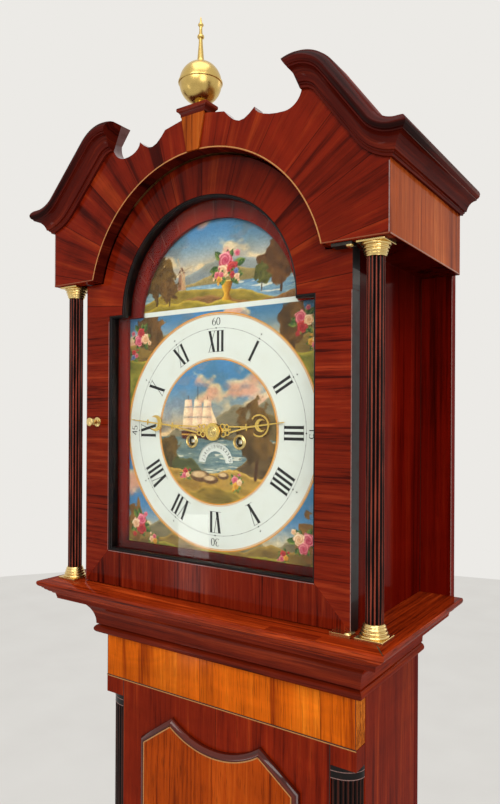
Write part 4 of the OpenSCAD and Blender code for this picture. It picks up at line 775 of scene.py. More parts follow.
def addColumns():
    reeds = reedMaterial("reededEbony", (138, 62, 46))
    low, high = hoodZ + columns["brass"] - 0.4, fasciaZ - columns["brass"] + 0.4
    zs = [low, low + 1.5, *np.linspace(low + 5, high - 5, 12), high - 1.5, high]
    ring, v = reedRing(columns["shaft"], columns["shaft"], 0, 360, columns["reeds"], columns["depth"])
    y, w = faceY + columns["y"], columns["plinth"]
    for label, side in sides:
        x = side * columns["x"]
        shaft = reeded("column" + label, ring, v, zs, (x, y), reeds, "hood", 0.93)
        for part, z, sign in (("Base", hoodZ, 1), ("Capital", fasciaZ, -1)):
            profile = [(r, sign * h) for r, h in columns["turned"]]
            obj = lathe("column%s%s" % (part, label), profile, (x, y, z), brass, "hood", smooth=50)
            slab("column%sPlate%s" % (part, label), rect(x - w, x + w, z, z + sign * columns["plinthT"]),
                 y - w, y + w, brass, "hood", bevel=0.7)
            if side > 0 and sign > 0:
                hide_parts("hood_columns")
                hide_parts("column_brasses")


addHorns()
addFascia()
addKeystone()
addColumns()
print("crest and columns ready")


# How far the sill and the throat moulding stand out from the trunk, at the sides and in front.
sill = dict(outX=68.3, outY=81.1, innerX=194.7)


def addSill():
    inner, z = (sill["innerX"] - trunkX) / sill["outX"], dialZ
    profile = [(inner, -250), (0.73, -250), (0.735, -247.8), (0.77, -247.4), (0.785, -246.2),
               (0.79, -245), (0.82, -244.6), (0.84, -243.4), (0.845, -242.2), (0.872, -241.8),
               (0.888, -240.6), (0.895, -239.2), (0.92, -238.6), (0.93, -237), (0.955, -236.4),
               (0.98, -235), (0.995, -233.2), (1.0, -231.4), (0.998, -229.8), (0.99, -228.6),
               (0.975, -228), (inner, -228)]
    around = (trunkX, sill["outX"], trunkY, sill["outY"])
    obj = aroundCase("hoodSill", np.add(profile, (0, z)), *around, wood("sillWood", "u"), "hood")
    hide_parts("hood_sill")
    cove = oval(0.71, -298, -0.55, 42, 0, 90, 22).tolist()
    bead = oval(0.05, -306.5, 0.15, 7.4, -90, 90, 16).tolist()
    profile = ([(0, -250), (0, -314)] + bead + [(0.10, -298.8), (0.16, -298.6)] + cove
               + [(0.712, -253.6), (0.72, -253), (0.722, -251.4), (0.728, -250)])
    obj = aroundCase("throatMoulding", np.add(profile, (0, z)), *around, wood("coveWood", "u"), "case")
    # Faces turned to the right in lighter mahogany: painted light on the lit side of the throat moulding.
    sideFinish(obj, wood("mahogany", "u"), lambda n, c: n.x > 0.3 and c.y > trunkY / 1000 - 0.05)
    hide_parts("throat_moulding")


hoodDoor = dict(w=220.0, foot=-226.5, shoulder=217.1, archR=189.5, thick=20.0, openX=172.0, openFoot=-176.0,
                spring=168.0, openR=146.4)


def addHoodDoor():
    d, front, back = hoodDoor, doorY, doorY + hoodDoor["thick"]
    w, x, r, innerR = d["w"], d["openX"], d["archR"], d["openR"]
    foot, shoulder, openFoot, spring = (dialZ + d[k] for k in ("foot", "shoulder", "openFoot", "spring"))
    rail = wood("crossband", "z", leaf=0.15, change=0.1)
    bottom = slab("doorRail", [(-w, foot), (w, foot), (x, openFoot), (-x, openFoot)], front, back, rail,
                  "hood_door")
    # The rail's top inside the opening in black: ebonised, and painted shade of the deep opening.
    sideFinish(bottom, ebony, lambda n, c: n.z > 0.8)
    # Thin pale strips along the bead's outer edges: painted highlights.
    beads = ([(-x - 0.9, openFoot), (-x - 0.9, dialZ), (-x - 0.9, spring - 8)],
             [(-x, openFoot - 0.9), (0, openFoot - 0.9), (x, openFoot - 0.9)])
    for k, path in enumerate(beads):
        strip("beadEdge%d" % k, path, 0.8, front, paintedHighlightLine, "hood_door")
    cross = wood("crossband", "x", leaf=0.118, change=0.16)
    for label, side in sides:
        line = [(side * w, foot), (side * w, spring), (side * x, spring), (side * x, openFoot)]
        stile = slab("doorStile" + label, line, front, back, cross, "hood_door")
        # The stiles' inner and outer edges in black: ebonised, and painted shade in the opening and at the
        # door's sides.
        sideFinish(stile, ebony, lambda n, c: abs(n.x) > 0.8 and not 0.174 < abs(c.x) < 0.215)
        # A thin pale strip down each door's front corner: a painted highlight.
        edge = side * (w - 0.6)
        path = [(edge, foot + 1), (edge, dialZ), (edge, spring - 1)]
        strip("doorCorner" + label, path, 0.9, front, paintedHighlightLine, "hood_door", 0.1)
    a = math.degrees(math.asin((shoulder - archZ) / r))
    line = np.vstack([[(-w, spring)], arcPoints(0, spring, innerR, 180, 0, 72), [(w, spring), (w, shoulder)],
                      arcPoints(0, archZ, r, a, 180 - a, 80), [(-w, shoulder)]])
    # The head darkens towards its top: painted shade under the fascia.
    head = slab("doorHead", line, front, back,
                wood("crestWood", "round", leaf=0.05, change=0.1, paintedShade=(2.03, 2.125, 0.5),
                     centre=(0, 0, spring / 1000), arcRadius=0.168), "hood_door")
    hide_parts("hood_door")
    # The head's outer edges and the inside of its arch in black: ebonised, and painted shade.
    sideFinish(head, ebony, lambda n, c: abs(n.x) > 0.8 and abs(c.x) > 0.215
               or abs(n.y) < 0.2 and math.hypot(c.x, c.z - spring / 1000) < 0.15)
    sight = np.vstack([[(-x, openFoot), (x, openFoot), (x, spring)], arcPoints(0, spring, innerR, 0, 180, 72),
                       [(-x, spring)]])
    bead = [(0.1, 1.4), (-0.3, 0.9), (-1.0, 0.6), (-1.8, 0.8), (-2.4, 1.4), (-2.7, 2.2), (-2.8, 3),
            (-3.3, 3.2), (-3.5, 3.8), (-3.5, 9.9), (0.1, 9.9)]
    framing("doorBead", sight, np.add(bead, (0, front)), ebony, "hood_door", smooth=50)


addSill()
addHoodDoor()
print("hood ready")


def addCase():
    dressed("trunk_sides", wood("mahogany", "z", turn=0.02), 1.2)
    dressed("trunk_front", wood("mahogany", "z"), 0.8)
    dressed("base_front", wood("flame", "z", leaf=0.262, change=0.05), 1.2)
    dressed("base_boards", wood("redBoard", "z", leaf=0.21, change=0.06), 1.0)
    dressed("bracket_feet", wood("mahogany", "x"), 1.2)
    dressed("backboard", wood("redBoard", "z", leaf=0.13, change=0.2), 1.0)
    dressed("seatboard", wood("pine", "x"), 0.8)
    # The sides darken towards their top: painted shade under the cornice.
    sideBoards = dressed("hood_sides", wood("redBoard", "z", paintedShade=(1.84, 1.975, 0.62)), 0.8)
    # The cornice's returns on the sides in the paler wood: a painted highlight.
    sideFinish(sideBoards, wood("returnWood", "z", leaf=0.3),
               lambda n, c: abs(n.x) > 0.9 and abs(c.x) > 0.265 and c.z > 1.98)
    dressed("hood_roof", wood("pine", "y", leaf=0.09, change=0.2), 0.8)
    # The mask darkens towards its foot: painted shade at the bottom of the door's opening.
    dressed("hood_mask", wood("redBoard", "z", paintedShade=(1.625, 1.585, 0.65)), 0.5)
    frieze = dressed("frieze", wood("satinwood", "z", leaf=0.19, change=0.03, turn=0.02), 1.6)
    sideFinish(frieze, wood("satinEnd", "z", turn=0.35), lambda n, c: abs(n.x) > 0.9 and abs(c.x) > 0.2)


trunkDoor = dict(w=134.5, foot=708.0, cuspX=75.0, cuspDrop=97.0, shoulderDrop=42.0, archR=125.6, plugT=13.0,
                 rim=[(-0.4, -0.3), (0, -0.8), (0, -3.2), (-0.3, -4.6), (-0.9, -5.6), (-4.9, -8.4),
                      (-6.1, -8.85), (-7.2, -8.95), (-7.7, -8.4), (-8.6, -8.4), (-8.6, -0.3)])


def trunkDoorLine():
    # Straight sides, sloping shoulders up to two cusps, and a hollow arch between them.
    w, foot, cuspX, r = (trunkDoor[k] for k in ("w", "foot", "cuspX", "archR"))
    cusp = throatZ - trunkDoor["cuspDrop"]
    shoulder = cusp - trunkDoor["shoulderDrop"]
    a = math.degrees(math.acos(cuspX / r))
    hollow = arcPoints(0, cusp + math.sqrt(r * r - cuspX * cuspX), r, -a, a - 180, 48)
    return np.vstack([[(-w, foot), (w, foot), (w, shoulder)], hollow, [(-w, shoulder)]])


def addTrunkDoor():
    line, y = trunkDoorLine(), trunkY
    step = mitres(line)
    rim = framing("trunkDoorRim", line, np.add(trunkDoor["rim"], (0, y)), wood("rimWood", "u"), "trunk_door",
                  smooth=40)
    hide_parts("trunk_door")
    framing("trunkDoorString", line, rect(-10.0, -8.4, y - 8.72, y - 8.2), stringing, "trunk_door")
    slab("trunkDoorField", line - step * 8.5, y - 8.6, y - 0.3, wood("doorWood", "z", leaf=0.15, change=0.06),
         "trunk_door", bevel=0)
    slab("trunkDoorPlug", line - step * 14, y - 0.31, y + trunkDoor["plugT"], wood("mahogany", "z"),
         "trunk_door", bevel=0.8)


addCase()
addTrunkDoor()
recoat("bell", bellMetal)
recoat("hood_glass", glass)
print("case ready")


# Painted scenes on the dial. Places are in millimetres from the dial's centre: x right, z up. A layer is
# a screen colour from 0 to 255 and a mask, and a scene is a list of layers laid on in their order.
def over(paint, colour, mask):
    m = np.clip(mask, 0, 1)[:, None]
    return paint * (1 - m) + np.asarray(colour, float) * m


def between(a, b, share):
    return np.array(a, float) * (1 - share[:, None]) + np.array(b, float) * share[:, None]


def clouds(x, z, size, seed, octaves=4):
    # Value noise: hashed lattice corners blended smoothly, halved in size and weight each octave.
    total, weight, share = 0.0, 0.0, 1.0
    for k in range(octaves):
        u, v = x / size * 2 ** k + seed * 17.3, z / size * 2 ** k + seed * 9.1
        i, j = np.floor(u), np.floor(v)
        fu, fv = u - i, v - j
        fu, fv = fu * fu * (3 - 2 * fu), fv * fv * (3 - 2 * fv)

        def corner(a, b):
            h = np.sin(a * 127.1 + b * 311.7 + seed * 74.7 + k * 5.3) * 43758.5453
            return h - np.floor(h)

        low = corner(i, j) * (1 - fu) + corner(i + 1, j) * fu
        high = corner(i, j + 1) * (1 - fu) + corner(i + 1, j + 1) * fu
        total = total + share * (low * (1 - fv) + high * fv)
        weight += share
        share *= 0.5
    return total / weight


def ramp(value, low, high):
    t = np.clip((value - low) / (high - low), 0, 1)
    return t * t * (3 - 2 * t)


def turnedTo(x, z, cx, cz, degrees):
    # Places along and across a direction, from a centre.
    a = math.radians(degrees)
    return (x - cx) * math.cos(a) + (z - cz) * math.sin(a), (z - cz) * math.cos(a) - (x - cx) * math.sin(a)


def within(x, z, corners, soft=0.5):
    # Inside a convex outline that runs anticlockwise.
    c = np.asarray(corners, float)
    inside = np.full(len(x), 1e9)
    for a, b in zip(c, np.roll(c, -1, 0)):
        t = (b - a) / np.linalg.norm(b - a)
        inside = np.minimum(inside, t[0] * (z - a[1]) - t[1] * (x - a[0]))
    return ramp(inside, -soft, soft)


def stroke(x, z, points, width, soft=0.4):
    # A line of some width through points, soft at its edges.
    p = np.asarray(points, float)
    near = np.full(len(x), 1e9)
    for a, b in zip(p[:-1], p[1:]):
        d = b - a
        t = np.clip(((x - a[0]) * d[0] + (z - a[1]) * d[1]) / (d @ d), 0, 1)
        near = np.minimum(near, np.hypot(x - a[0] - t * d[0], z - a[1] - t * d[1]))
    return ramp(-near, -width / 2 - soft, -width / 2 + soft)


def sky(x, z, low, high, seed, deep=(74, 132, 190), pale=(228, 200, 164)):
    # Blue above, cream below, with heaped cream and rose clouds between.
    t = ramp(z, low, high)
    heap = clouds(x, z * 1.5, 46, seed) + 0.25 * (1 - t)
    return [(between(pale, deep, t), 1 + 0 * x), ((236, 214, 176), ramp(heap, 0.54, 0.68) * 0.85),
            ((214, 146, 138), ramp(clouds(x + 4, z * 1.5 + 7, 46, seed), 0.54, 0.7) * 0.6),
            ((118, 132, 158), ramp(clouds(x, z * 1.8, 30, seed + 5), 0.56, 0.74) * 0.5)]


def hill(x, z, ridge, near, far, seed, rough=1.6):
    # Land below a ridge line, lighter along its crest and mottled by noise.
    top = ridge + (clouds(x, 0 * x, 13, seed) - 0.5) * rough * 4
    land = between(near, far, clouds(x, z * 2.2, 16, seed + 3))
    land = over(land, np.array(far, float) * 1.18, ramp(z - top, -5, 0) * 0.6)
    return [(land, ramp(top - z, -0.6, 0.6))]


def tree(x, z, cx, foot, height, wide, seed, dark, light):
    # A forked trunk below an oval crown with a ragged edge, lit from the upper right.
    h, bark = height, (70, 44, 26)
    trunk = [(cx, foot), (cx + h * 0.04, foot + h * 0.4), (cx - h * 0.06, foot + h * 0.75)]
    bough = [(cx + h * 0.03, foot + h * 0.35), (cx + wide * 0.5, foot + h * 0.62)]
    crown = np.hypot((x - cx) / wide, (z - foot - h * 0.66) / (h * 0.42))
    edge = 1.02 - crown + (clouds(x, z, h * 0.2, seed, 4) - 0.5) * 1.3
    lit = (clouds(x + 2, z - 3, h * 0.12, seed + 2, 3) * 0.75
           + 0.35 * ramp(x + z * 0.8 - cx - foot - h * 0.5, -20, 20))
    return [(bark, stroke(x, z, trunk, h * 0.05)), (bark, stroke(x, z, bough, h * 0.03)),
            (between(dark, light, lit), ramp(edge, -0.05, 0.08))]


def water(x, z, top, seed, deep=(74, 122, 176), pale=(176, 204, 214)):
    w = between(deep, pale, clouds(x * 0.35, z * 3.0, 9, seed, 3))
    w = over(w, (232, 232, 220), ramp(clouds(x * 0.3, z * 4, 7, seed + 1, 3), 0.66, 0.76) * 0.8)
    return [(w, ramp(top - z, -0.5, 0.5))]


def leaf(x, z, cx, cz, length, turn):
    u, v = turnedTo(x, z, cx, cz, turn)
    half = 0.26 * length * np.sin(np.pi * np.clip(u / length, 0, 1))
    mask = ramp(half - np.abs(v), -0.35, 0.35) * (u > 0) * (u < length)
    return [((52, 84, 40), mask), ((124, 148, 70), mask * ramp(v, -0.2, half.max() * 0.8)),
            ((176, 190, 110), mask * ramp(-np.abs(v), -0.35, 0.0) * 0.8)]


roses = dict(pink=((172, 44, 84), (246, 176, 188)), red=((132, 22, 36), (226, 92, 90)),
             pale=((206, 150, 110), (252, 240, 222)), gold=((176, 104, 20), (250, 214, 96)),
             blue=((52, 70, 140), (150, 178, 226)))


def rose(x, z, cx, cz, r, kind, seed):
    # Petals as a spiral of light rims that winds in to a dark heart.
    u, v = (x - cx) / r, (z - cz) / r
    d, a = np.hypot(u, v), np.arctan2(v, u)
    edge = 1 + 0.1 * np.sin(5 * a + seed) + 0.05 * np.sin(9 * a + 2 * seed)
    spiral = 0.5 + 0.5 * np.sin(17 * np.power(d + 0.02, 0.8) - 2.0 * a + seed)
    tone = np.clip(0.16 + 0.56 * spiral * (0.4 + d) + 0.26 * (v * 0.7 - u * 0.3), 0, 1)
    tone = tone * (0.35 + 0.65 * ramp(d, 0.05, 0.5))
    return [(between(*roses[kind], tone), ramp(edge - d, -0.06, 0.08))]


def spray(x, z, cx, cz, size, turn, seed, kinds):
    # Three roses, two buds and a fan of leaves about a point.
    kinds = kinds.split()

    def at(share, degrees):
        a = math.radians(degrees)
        return cx + share * size * math.cos(a), cz + share * size * math.sin(a)

    layers = []
    for k in range(9):
        a = turn + k * 40 + 12 * math.sin(seed * 3 + k * 2.1)
        layers += leaf(x, z, *at(0.45, a), size * (0.75 + 0.2 * math.sin(k * 1.7 + seed)), a)
    for k, kind in enumerate(kinds):
        layers += rose(x, z, *at(0.42, turn + 90 + k * 120), size * (0.5 - 0.05 * k), kind, seed + k)
    for k in range(2):
        layers += rose(x, z, *at(1.05, turn + 30 + k * 170), size * 0.2, kinds[k], seed + 4 + k)
    return layers


def mill(x, z):
    body = [((150, 108, 88), [(-69, 200), (-54, 200), (-56.5, 224), (-66.5, 224)]),
            ((196, 160, 128), [(-62, 200), (-54, 200), (-56.5, 224), (-62, 224)]),
            ((96, 48, 36), [(-68, 224), (-55, 224), (-61.5, 233)])]
    layers = [(colour, within(x, z, corners)) for colour, corners in body]
    hub = (-61.5, 225)
    for a in np.radians((20, 110, 200, 290)):
        sail = [hub, (hub[0] + 21 * math.cos(a), hub[1] + 21 * math.sin(a))]
        layers += [((236, 226, 200), stroke(x, z, sail, 2.2, 0.5) * 0.9),
                   ((86, 52, 36), stroke(x, z, sail, 0.7))]
    return layers


def urn(x, z, cx=18):
    # A turned body: between two levels its half width runs straight, bright on the left side.
    body = [(10, 205), (8, 197), (4.6, 189), (4.2, 185), (7.4, 182), (7.4, 179)]
    layers = []
    for (w0, h0), (w1, h1) in zip(body, body[1:]):
        half = w0 + (w1 - w0) * np.clip((h0 - z) / (h0 - h1), 0, 1)
        mask = ramp(half - np.abs(x - cx), -0.4, 0.4) * (z <= h0) * (z >= h1)
        lit = np.clip(0.5 - (x - cx) / (2 * half), 0, 1)
        layers.append((between((122, 74, 14), (240, 190, 60), lit), mask))
    return layers + [((248, 214, 110), stroke(x, z, [(cx - 10.5, 205), (cx + 10.5, 205)], 1.6))]


def archScene(x, z):
    # A lake below blue hills, a mill on the left bank, trees on both sides, and an urn of roses.
    return (sky(x, z, 205, 285, 1.0)
            + hill(x, z, 226 + 12 * np.sin(x / 34 + 0.8) - 0.05 * x, (112, 126, 142), (150, 158, 160), 2.0)
            + hill(x, z, 214 + 9 * np.cos(x / 27 - 1.0), (112, 104, 68), (166, 146, 96), 3.0)
            + water(x, z, 203.0, 4.0)
            + hill(x, z, 197 - 0.0016 * (x + 20) ** 2 + 8 * ramp(-x, 20, 90), (96, 88, 36), (176, 154, 66),
                   5.0)
            + hill(x, z, 181 + 7 * np.sin(x / 30 + 2.4), (98, 66, 40), (150, 112, 66), 6.0)
            + hill(x, z, 184 - 0.09 * np.abs(x + 60) + 2 * np.sin(x / 9), (112, 104, 32), (192, 170, 66),
                   7.0)
            + mill(x, z)
            + tree(x, z, 104, 183, 74, 30, 8.0, (58, 34, 20), (168, 118, 58))
            + tree(x, z, -108, 182, 62, 30, 9.0, (52, 36, 18), (150, 118, 54))
            + tree(x, z, -84, 180, 40, 17, 9.6, (62, 40, 22), (168, 130, 62))
            + tree(x, z, 74, 186, 34, 13, 10.0, (50, 52, 26), (138, 140, 66))
            + urn(x, z)
            + spray(x, z, 18, 224, 23, 15, 2.0, "pink pale red")
            + spray(x, z, 5, 212, 10, 60, 3.4, "pink gold pink")
            + spray(x, z, 32, 213, 10, 100, 4.6, "red pale blue"))


def ship(x, z):
    # A hull, three masts with square sails that swell in the middle, pennants and a staysail.
    hull = ramp(z + 14 - 0.004 * (x + 30) ** 2, -0.5, 0.5) * ramp(-z, -0.5, 0.5)
    hull = hull * ramp(30 - np.abs(x + 30), -1, 1)
    layers = [((84, 36, 26), hull), ((216, 170, 80), hull * stroke(x, z, [(-60, -4.5), (0, -3.5)], 2.0))]
    for mast, high in ((-48, 50), (-31, 62), (-14, 48)):
        layers.append(((70, 40, 28), stroke(x, z, [(mast, -2), (mast, high)], 1.2)))
        for foot, tall, w in ((4, 15, 10.5), (20.5, 13, 9), (34.5, 10, 7)):
            top = foot + tall
            if top > high:
                continue
            edge = [(mast - w, foot), (mast + w, foot + 0.5), (mast + w * 0.86, top), (mast - w * 0.86, top)]
            tone = np.clip(0.62 - (x - mast) / (2.6 * w) + 0.25 * np.sin((z - foot) / tall * 3.1), 0, 1)
            layers.append((between((190, 132, 128), (250, 236, 214), tone), within(x, z, edge, 0.7)))
        pennant = [(mast, high - 6), (mast - 15, high - 5 + mast * 0.02), (mast, high - 1)]
        layers.append(((206, 50, 76), within(x, z, pennant)))
    return layers + [((244, 226, 200), within(x, z, [(-5, 6), (8, 2), (-9, 36)], 0.6))]


def rocks(x, z):
    layers = []
    for cx, cz, rx, rz in ((-26, -62, 17, 8), (-8, -66, 13, 6), (14, -60, 9, 5)):
        for colour, bx, bz, wide, high, soft in (
                ((96, 70, 50), cx, cz, rx, rz, 0.1),
                ((214, 190, 154), cx - rx * 0.15, cz + rz * 0.3, rx * 0.75, rz * 0.55, 0.35)):
            layers.append((colour, ramp(-np.hypot((x - bx) / wide, (z - bz) / high), -1 - soft, -1 + soft)))
    return layers


def centreScene(x, z):
    # A ship under sail off a headland, with rocks, a tree and flowers on the near shore.
    return (sky(x, z, -20, 78, 11.0)
            + hill(x, z, 18 + 0.34 * x + 7 * np.sin(x / 15), (104, 104, 92), (148, 142, 122), 12.0, 2.4)
            + water(x, z, -8.0, 13.0, (62, 100, 128), (150, 170, 170))
            + hill(x, z, 6 + 0.5 * (x - 52) + 6 * np.sin(x / 9), (66, 60, 40), (124, 108, 72), 14.0, 2.2)
            + ship(x, z)
            + water(x, z, -10.5 + 1.2 * np.sin(x / 6), 15.0, (58, 92, 116), (150, 168, 164))
            + hill(x, z, -16 - 0.55 * (x + 92) + 4 * np.sin(x / 8), (48, 54, 34), (96, 104, 66), 16.0, 2.6)
            + hill(x, z, -16 + 0.62 * (x - 84) + 5 * np.sin(x / 10 + 1), (66, 52, 36), (122, 102, 66), 17.0,
                   2.6)
            + hill(x, z, -56 + 4 * np.sin(x / 15), (124, 98, 40), (206, 172, 92), 18.0)
            + hill(x, z, -79 + 5 * np.cos(x / 17), (92, 82, 34), (178, 150, 66), 19.0)
            + rocks(x, z)
            + tree(x, z, 66, -62, 92, 27, 20.0, (44, 34, 20), (134, 102, 54))
            + tree(x, z, -80, -52, 44, 16, 20.5, (44, 36, 20), (120, 98, 50))
            + spray(x, z, 36, -68, 11, 40, 5.2, "pink gold pale")
            + spray(x, z, -52, -60, 9, 10, 6.3, "red pink pale"))


def cornerScene(x, z):
    # Sky over low hills and a grassy bank in each corner, with a spray of roses in front.
    h = np.where(z > 0, z - 100, z + 168)
    layers = (sky(x, h, 8, 66, 21.0, (70, 128, 190), (206, 190, 158))
              + hill(x, h, 30 + 10 * np.sin(x / 19), (92, 92, 78), (142, 134, 106), 22.0, 2.2)
              + hill(x, h, 7 + 0.12 * np.abs(x) + 5 * np.sin(x / 12 + 1), (88, 72, 42), (160, 136, 70), 23.0,
                     2)
              + hill(x, h, 4 + 3 * np.cos(x / 14), (74, 88, 36), (170, 160, 66), 24.0))
    for cx, foot, height, wide, seed in ((-118, 98, 70, 26, 26.0), (122, 96, 72, 24, 27.0),
                                         (-146, -172, 58, 20, 28.0), (146, -172, 62, 20, 29.0)):
        layers += tree(x, z, cx, foot, height, wide, seed, (54, 40, 22), (150, 108, 56))
    for cx, cz, size, turn, seed, kinds in (
            (138, 141, 17, 40, 7.1, "pink red pale"), (152, 114, 9, 80, 7.9, "gold pink pale"),
            (-138, 138, 17, 130, 8.2, "pink pale red"), (-152, 112, 9, 20, 8.8, "red blue pink"),
            (-140, -138, 18, 210, 9.3, "red pink pale"), (-112, -158, 9, 100, 9.7, "pale gold pink"),
            (139, -137, 18, 300, 10.4, "pink pale pink"), (110, -158, 9, 10, 10.9, "red pink gold")):
        layers += spray(x, z, cx, cz, size, turn, seed, kinds)
    return layers


def aged(c, x, z, seed):
    # Old varnish: a brown glaze that lies thicker in clouds, and fine brush marks.
    thick = 0.55 + 0.45 * ramp(clouds(x, z, 38, seed), 0.35, 0.7)
    c = c * (1 - thick[:, None] * np.array((0.1, 0.17, 0.27)))
    marks = 1 + 0.22 * (clouds(x * 1.3, z * 2.6, 3.2, seed + 1, 3) - 0.5)
    return np.clip(c * marks[:, None], 0, 255)


def paintMaterial():
    # The painted colours under a thin varnish, mottled by faint clouds and crackle.
    m, tree, shader = newMaterial("paintedScene")
    colour = wire(tree, "Attribute", key="Color", attribute_name="paint")
    place = objectPlace(tree)
    fine = noise(place, 900.0)
    tone = wire(tree, "CombineColor", {k: spread(fine, 0.3, 0.7, 0.9, 1.08) for k in range(3)})
    fill(shader, {"Base Color": mixColour(tree, 1.0, colour, tone, "MULTIPLY"), "Specular IOR Level": 0.15,
                  "Roughness": spread(noise(place, 60.0), 0.3, 0.7, 0.3, 0.42),
                  "Normal": wire(tree, "Bump", {"Height": fine, "Strength": 0.2, "Distance": 0.0001})})
    return m


painting = paintMaterial()
dial = dict(halfX=164.8, topZ=167.8, footZ=-169.8, ringR=162.4, middleR=99.6, centreR=9.0, windX=40.7,
            windZ=-13.3, windR=7.6, calendarZ=-43.8, calendarR0=17.2, calendarR1=29.5, archZ=157.5,
            archR=138.0, archFootZ=173.0)


def middleGap(x, z):
    # How far a point lies outside the painted middle: the centre, winding and calendar holes are out.
    gap = np.maximum(np.hypot(x, z) - dial["middleR"], dial["centreR"] - np.hypot(x, z))
    for label, side in sides:
        gap = np.maximum(gap, dial["windR"] - np.hypot(x - side * dial["windX"], z - dial["windZ"]))
    # The calendar's opening is the upper half of a ring, a few degrees short at both ends.
    up = z - dial["calendarZ"]
    r, a = np.hypot(x, up), np.degrees(np.arctan2(up, x))
    band = np.maximum(r - dial["calendarR1"], dial["calendarR0"] - r)
    ends = np.maximum(4 - a, a - 176) * np.radians(1) * r
    return np.maximum(gap, -np.maximum(band, ends))


def archGap(x, z):
    arch = np.maximum(np.hypot(x, z - dial["archZ"]) - dial["archR"], dial["archFootZ"] - z)
    return np.maximum(arch, np.abs(x) - dial["halfX"])


def cornerGap(x, z):
    edges = np.maximum(np.maximum(np.abs(x) - dial["halfX"], z - dial["topZ"]), dial["footZ"] - z)
    return np.maximum(dial["ringR"] - np.hypot(x, z), edges)


def paintedSkin(name, gap, box, scene, seed, step=1.0):
    # A grid over the box whose rim points are moved on to the line where the gap is nought.
    x0, x1, z0, z1 = box
    nx, nz = int((x1 - x0) / step) + 2, int((z1 - z0) / step) + 2
    grid = np.meshgrid(x0 + step * np.arange(nx), z0 + step * np.arange(nz), indexing="ij")
    x, z = (g.ravel() for g in grid)
    near = np.abs(gap(x, z)) < 0.62 * step
    for turn in range(3):
        gx, gz = (gap(x + 0.05, z) - gap(x - 0.05, z)) / 0.1, (gap(x, z + 0.05) - gap(x, z - 0.05)) / 0.1
        pull = near * gap(x, z) / np.maximum(0.3, gx * gx + gz * gz)
        x, z = x - pull * gx, z - pull * gz
    keep = (gap(x, z) < 0.08) | near
    faces = np.array(rows(nx, nz))
    used, faces = np.unique(faces[keep[faces].all(1)], return_inverse=True)
    x, z = x[used], z[used]
    paint = 0.0
    for colour, mask in scene(x, z):
        paint = over(paint, colour, mask)
    colour = np.column_stack([lightOf(aged(paint, x, z, seed)), np.ones(len(x))])
    verts = np.stack([x, np.full(len(x), dialY - 0.22), z + dialZ], -1)
    obj = addMesh(name, verts, faces.reshape(-1, 4).tolist(), painting, "case", colour=colour)
    thick = obj.modifiers.new("thickness", "SOLIDIFY")
    thick.thickness, thick.offset = 0.0002, 1.0


def ribbon(points, half):
    # Quads along a line of points with a half width at each point.
    p = np.asarray(points, float)
    t = np.gradient(p, axis=0)
    t /= np.maximum(1e-9, np.linalg.norm(t, axis=1))[:, None]
    side = np.stack([-t[:, 1], t[:, 0]], -1) * np.asarray(half, float)[:, None]
    return [[b - sb, b + sb, a + sa, a - sa] for a, b, sa, sb in zip(p[:-1], p[1:], side[:-1], side[1:])]


def turned(points, angle, origin=(0, 0)):
    # Points of (clockwise, outward) at a clock angle, placed round an origin.
    p = np.atleast_2d(np.asarray(points, float))
    a = math.radians(angle)
    out, side = np.array([math.sin(a), math.cos(a)]), np.array([math.cos(a), -math.sin(a)])
    return np.asarray(origin, float) + p[:, :1] * side + p[:, 1:] * out


# The strokes of each figure as places across and up, in shares of its height.
digitLines = {
    "0": [oval(0.31, 0.5, 0.27, 0.5, 0, 360)],
    "1": [[(0.14, 0.8), (0.3, 1.0), (0.3, 0.5), (0.3, 0.0)]],
    "2": [[*oval(0.3, 0.72, 0.25, 0.28, 165, -35), (0.04, 0.02), (0.3, 0.02), (0.58, 0.05)]],
    "3": [oval(0.28, 0.75, 0.22, 0.25, 150, -85), oval(0.28, 0.26, 0.28, 0.26, 88, -150)],
    "4": [[(0.44, 0), (0.44, 0.5), (0.44, 1.0)], [(0.44, 1.0), (0.02, 0.3), (0.3, 0.3), (0.64, 0.3)]],
    "5": [[(0.55, 0.99), (0.3, 0.97), (0.14, 0.99), (0.12, 0.75), (0.1, 0.52)],
          oval(0.28, 0.3, 0.27, 0.3, 125, -150)],
    "6": [oval(0.31, 0.3, 0.26, 0.3, 0, 360), oval(0.56, 0.34, 0.52, 0.66, 185, 100)],
    "7": [[(0.02, 0.9), (0.06, 0.99), (0.58, 0.99), (0.36, 0.5), (0.22, 0.0)]],
    "8": [oval(0.31, 0.75, 0.2, 0.25, 0, 360), oval(0.31, 0.25, 0.26, 0.26, 0, 360)],
    "9": [oval(0.31, 0.7, 0.26, 0.3, 0, 360), oval(0.06, 0.66, 0.52, 0.66, 5, -80)],
}


def numberShapes(text, angle, radius, height, thin, thick, origin=(0, 0)):
    # Figures with their feet at a radius, written with a broad pen: upright strokes are thick.
    shapes = []
    for k, figure in enumerate(text):
        for line in digitLines[figure]:
            p = np.array(line) * height
            p[:, 0] += (k * 0.72 - (len(text) * 0.72 - 0.1) / 2) * height
            t = np.gradient(p, axis=0)
            up = np.abs(t[:, 1]) / np.maximum(1e-9, np.hypot(t[:, 0], t[:, 1]))
            p[:, 1] += radius
            shapes += [turned(q, angle, origin) for q in ribbon(p, (thin + (thick - thin) * up ** 2) / 2)]
    return shapes


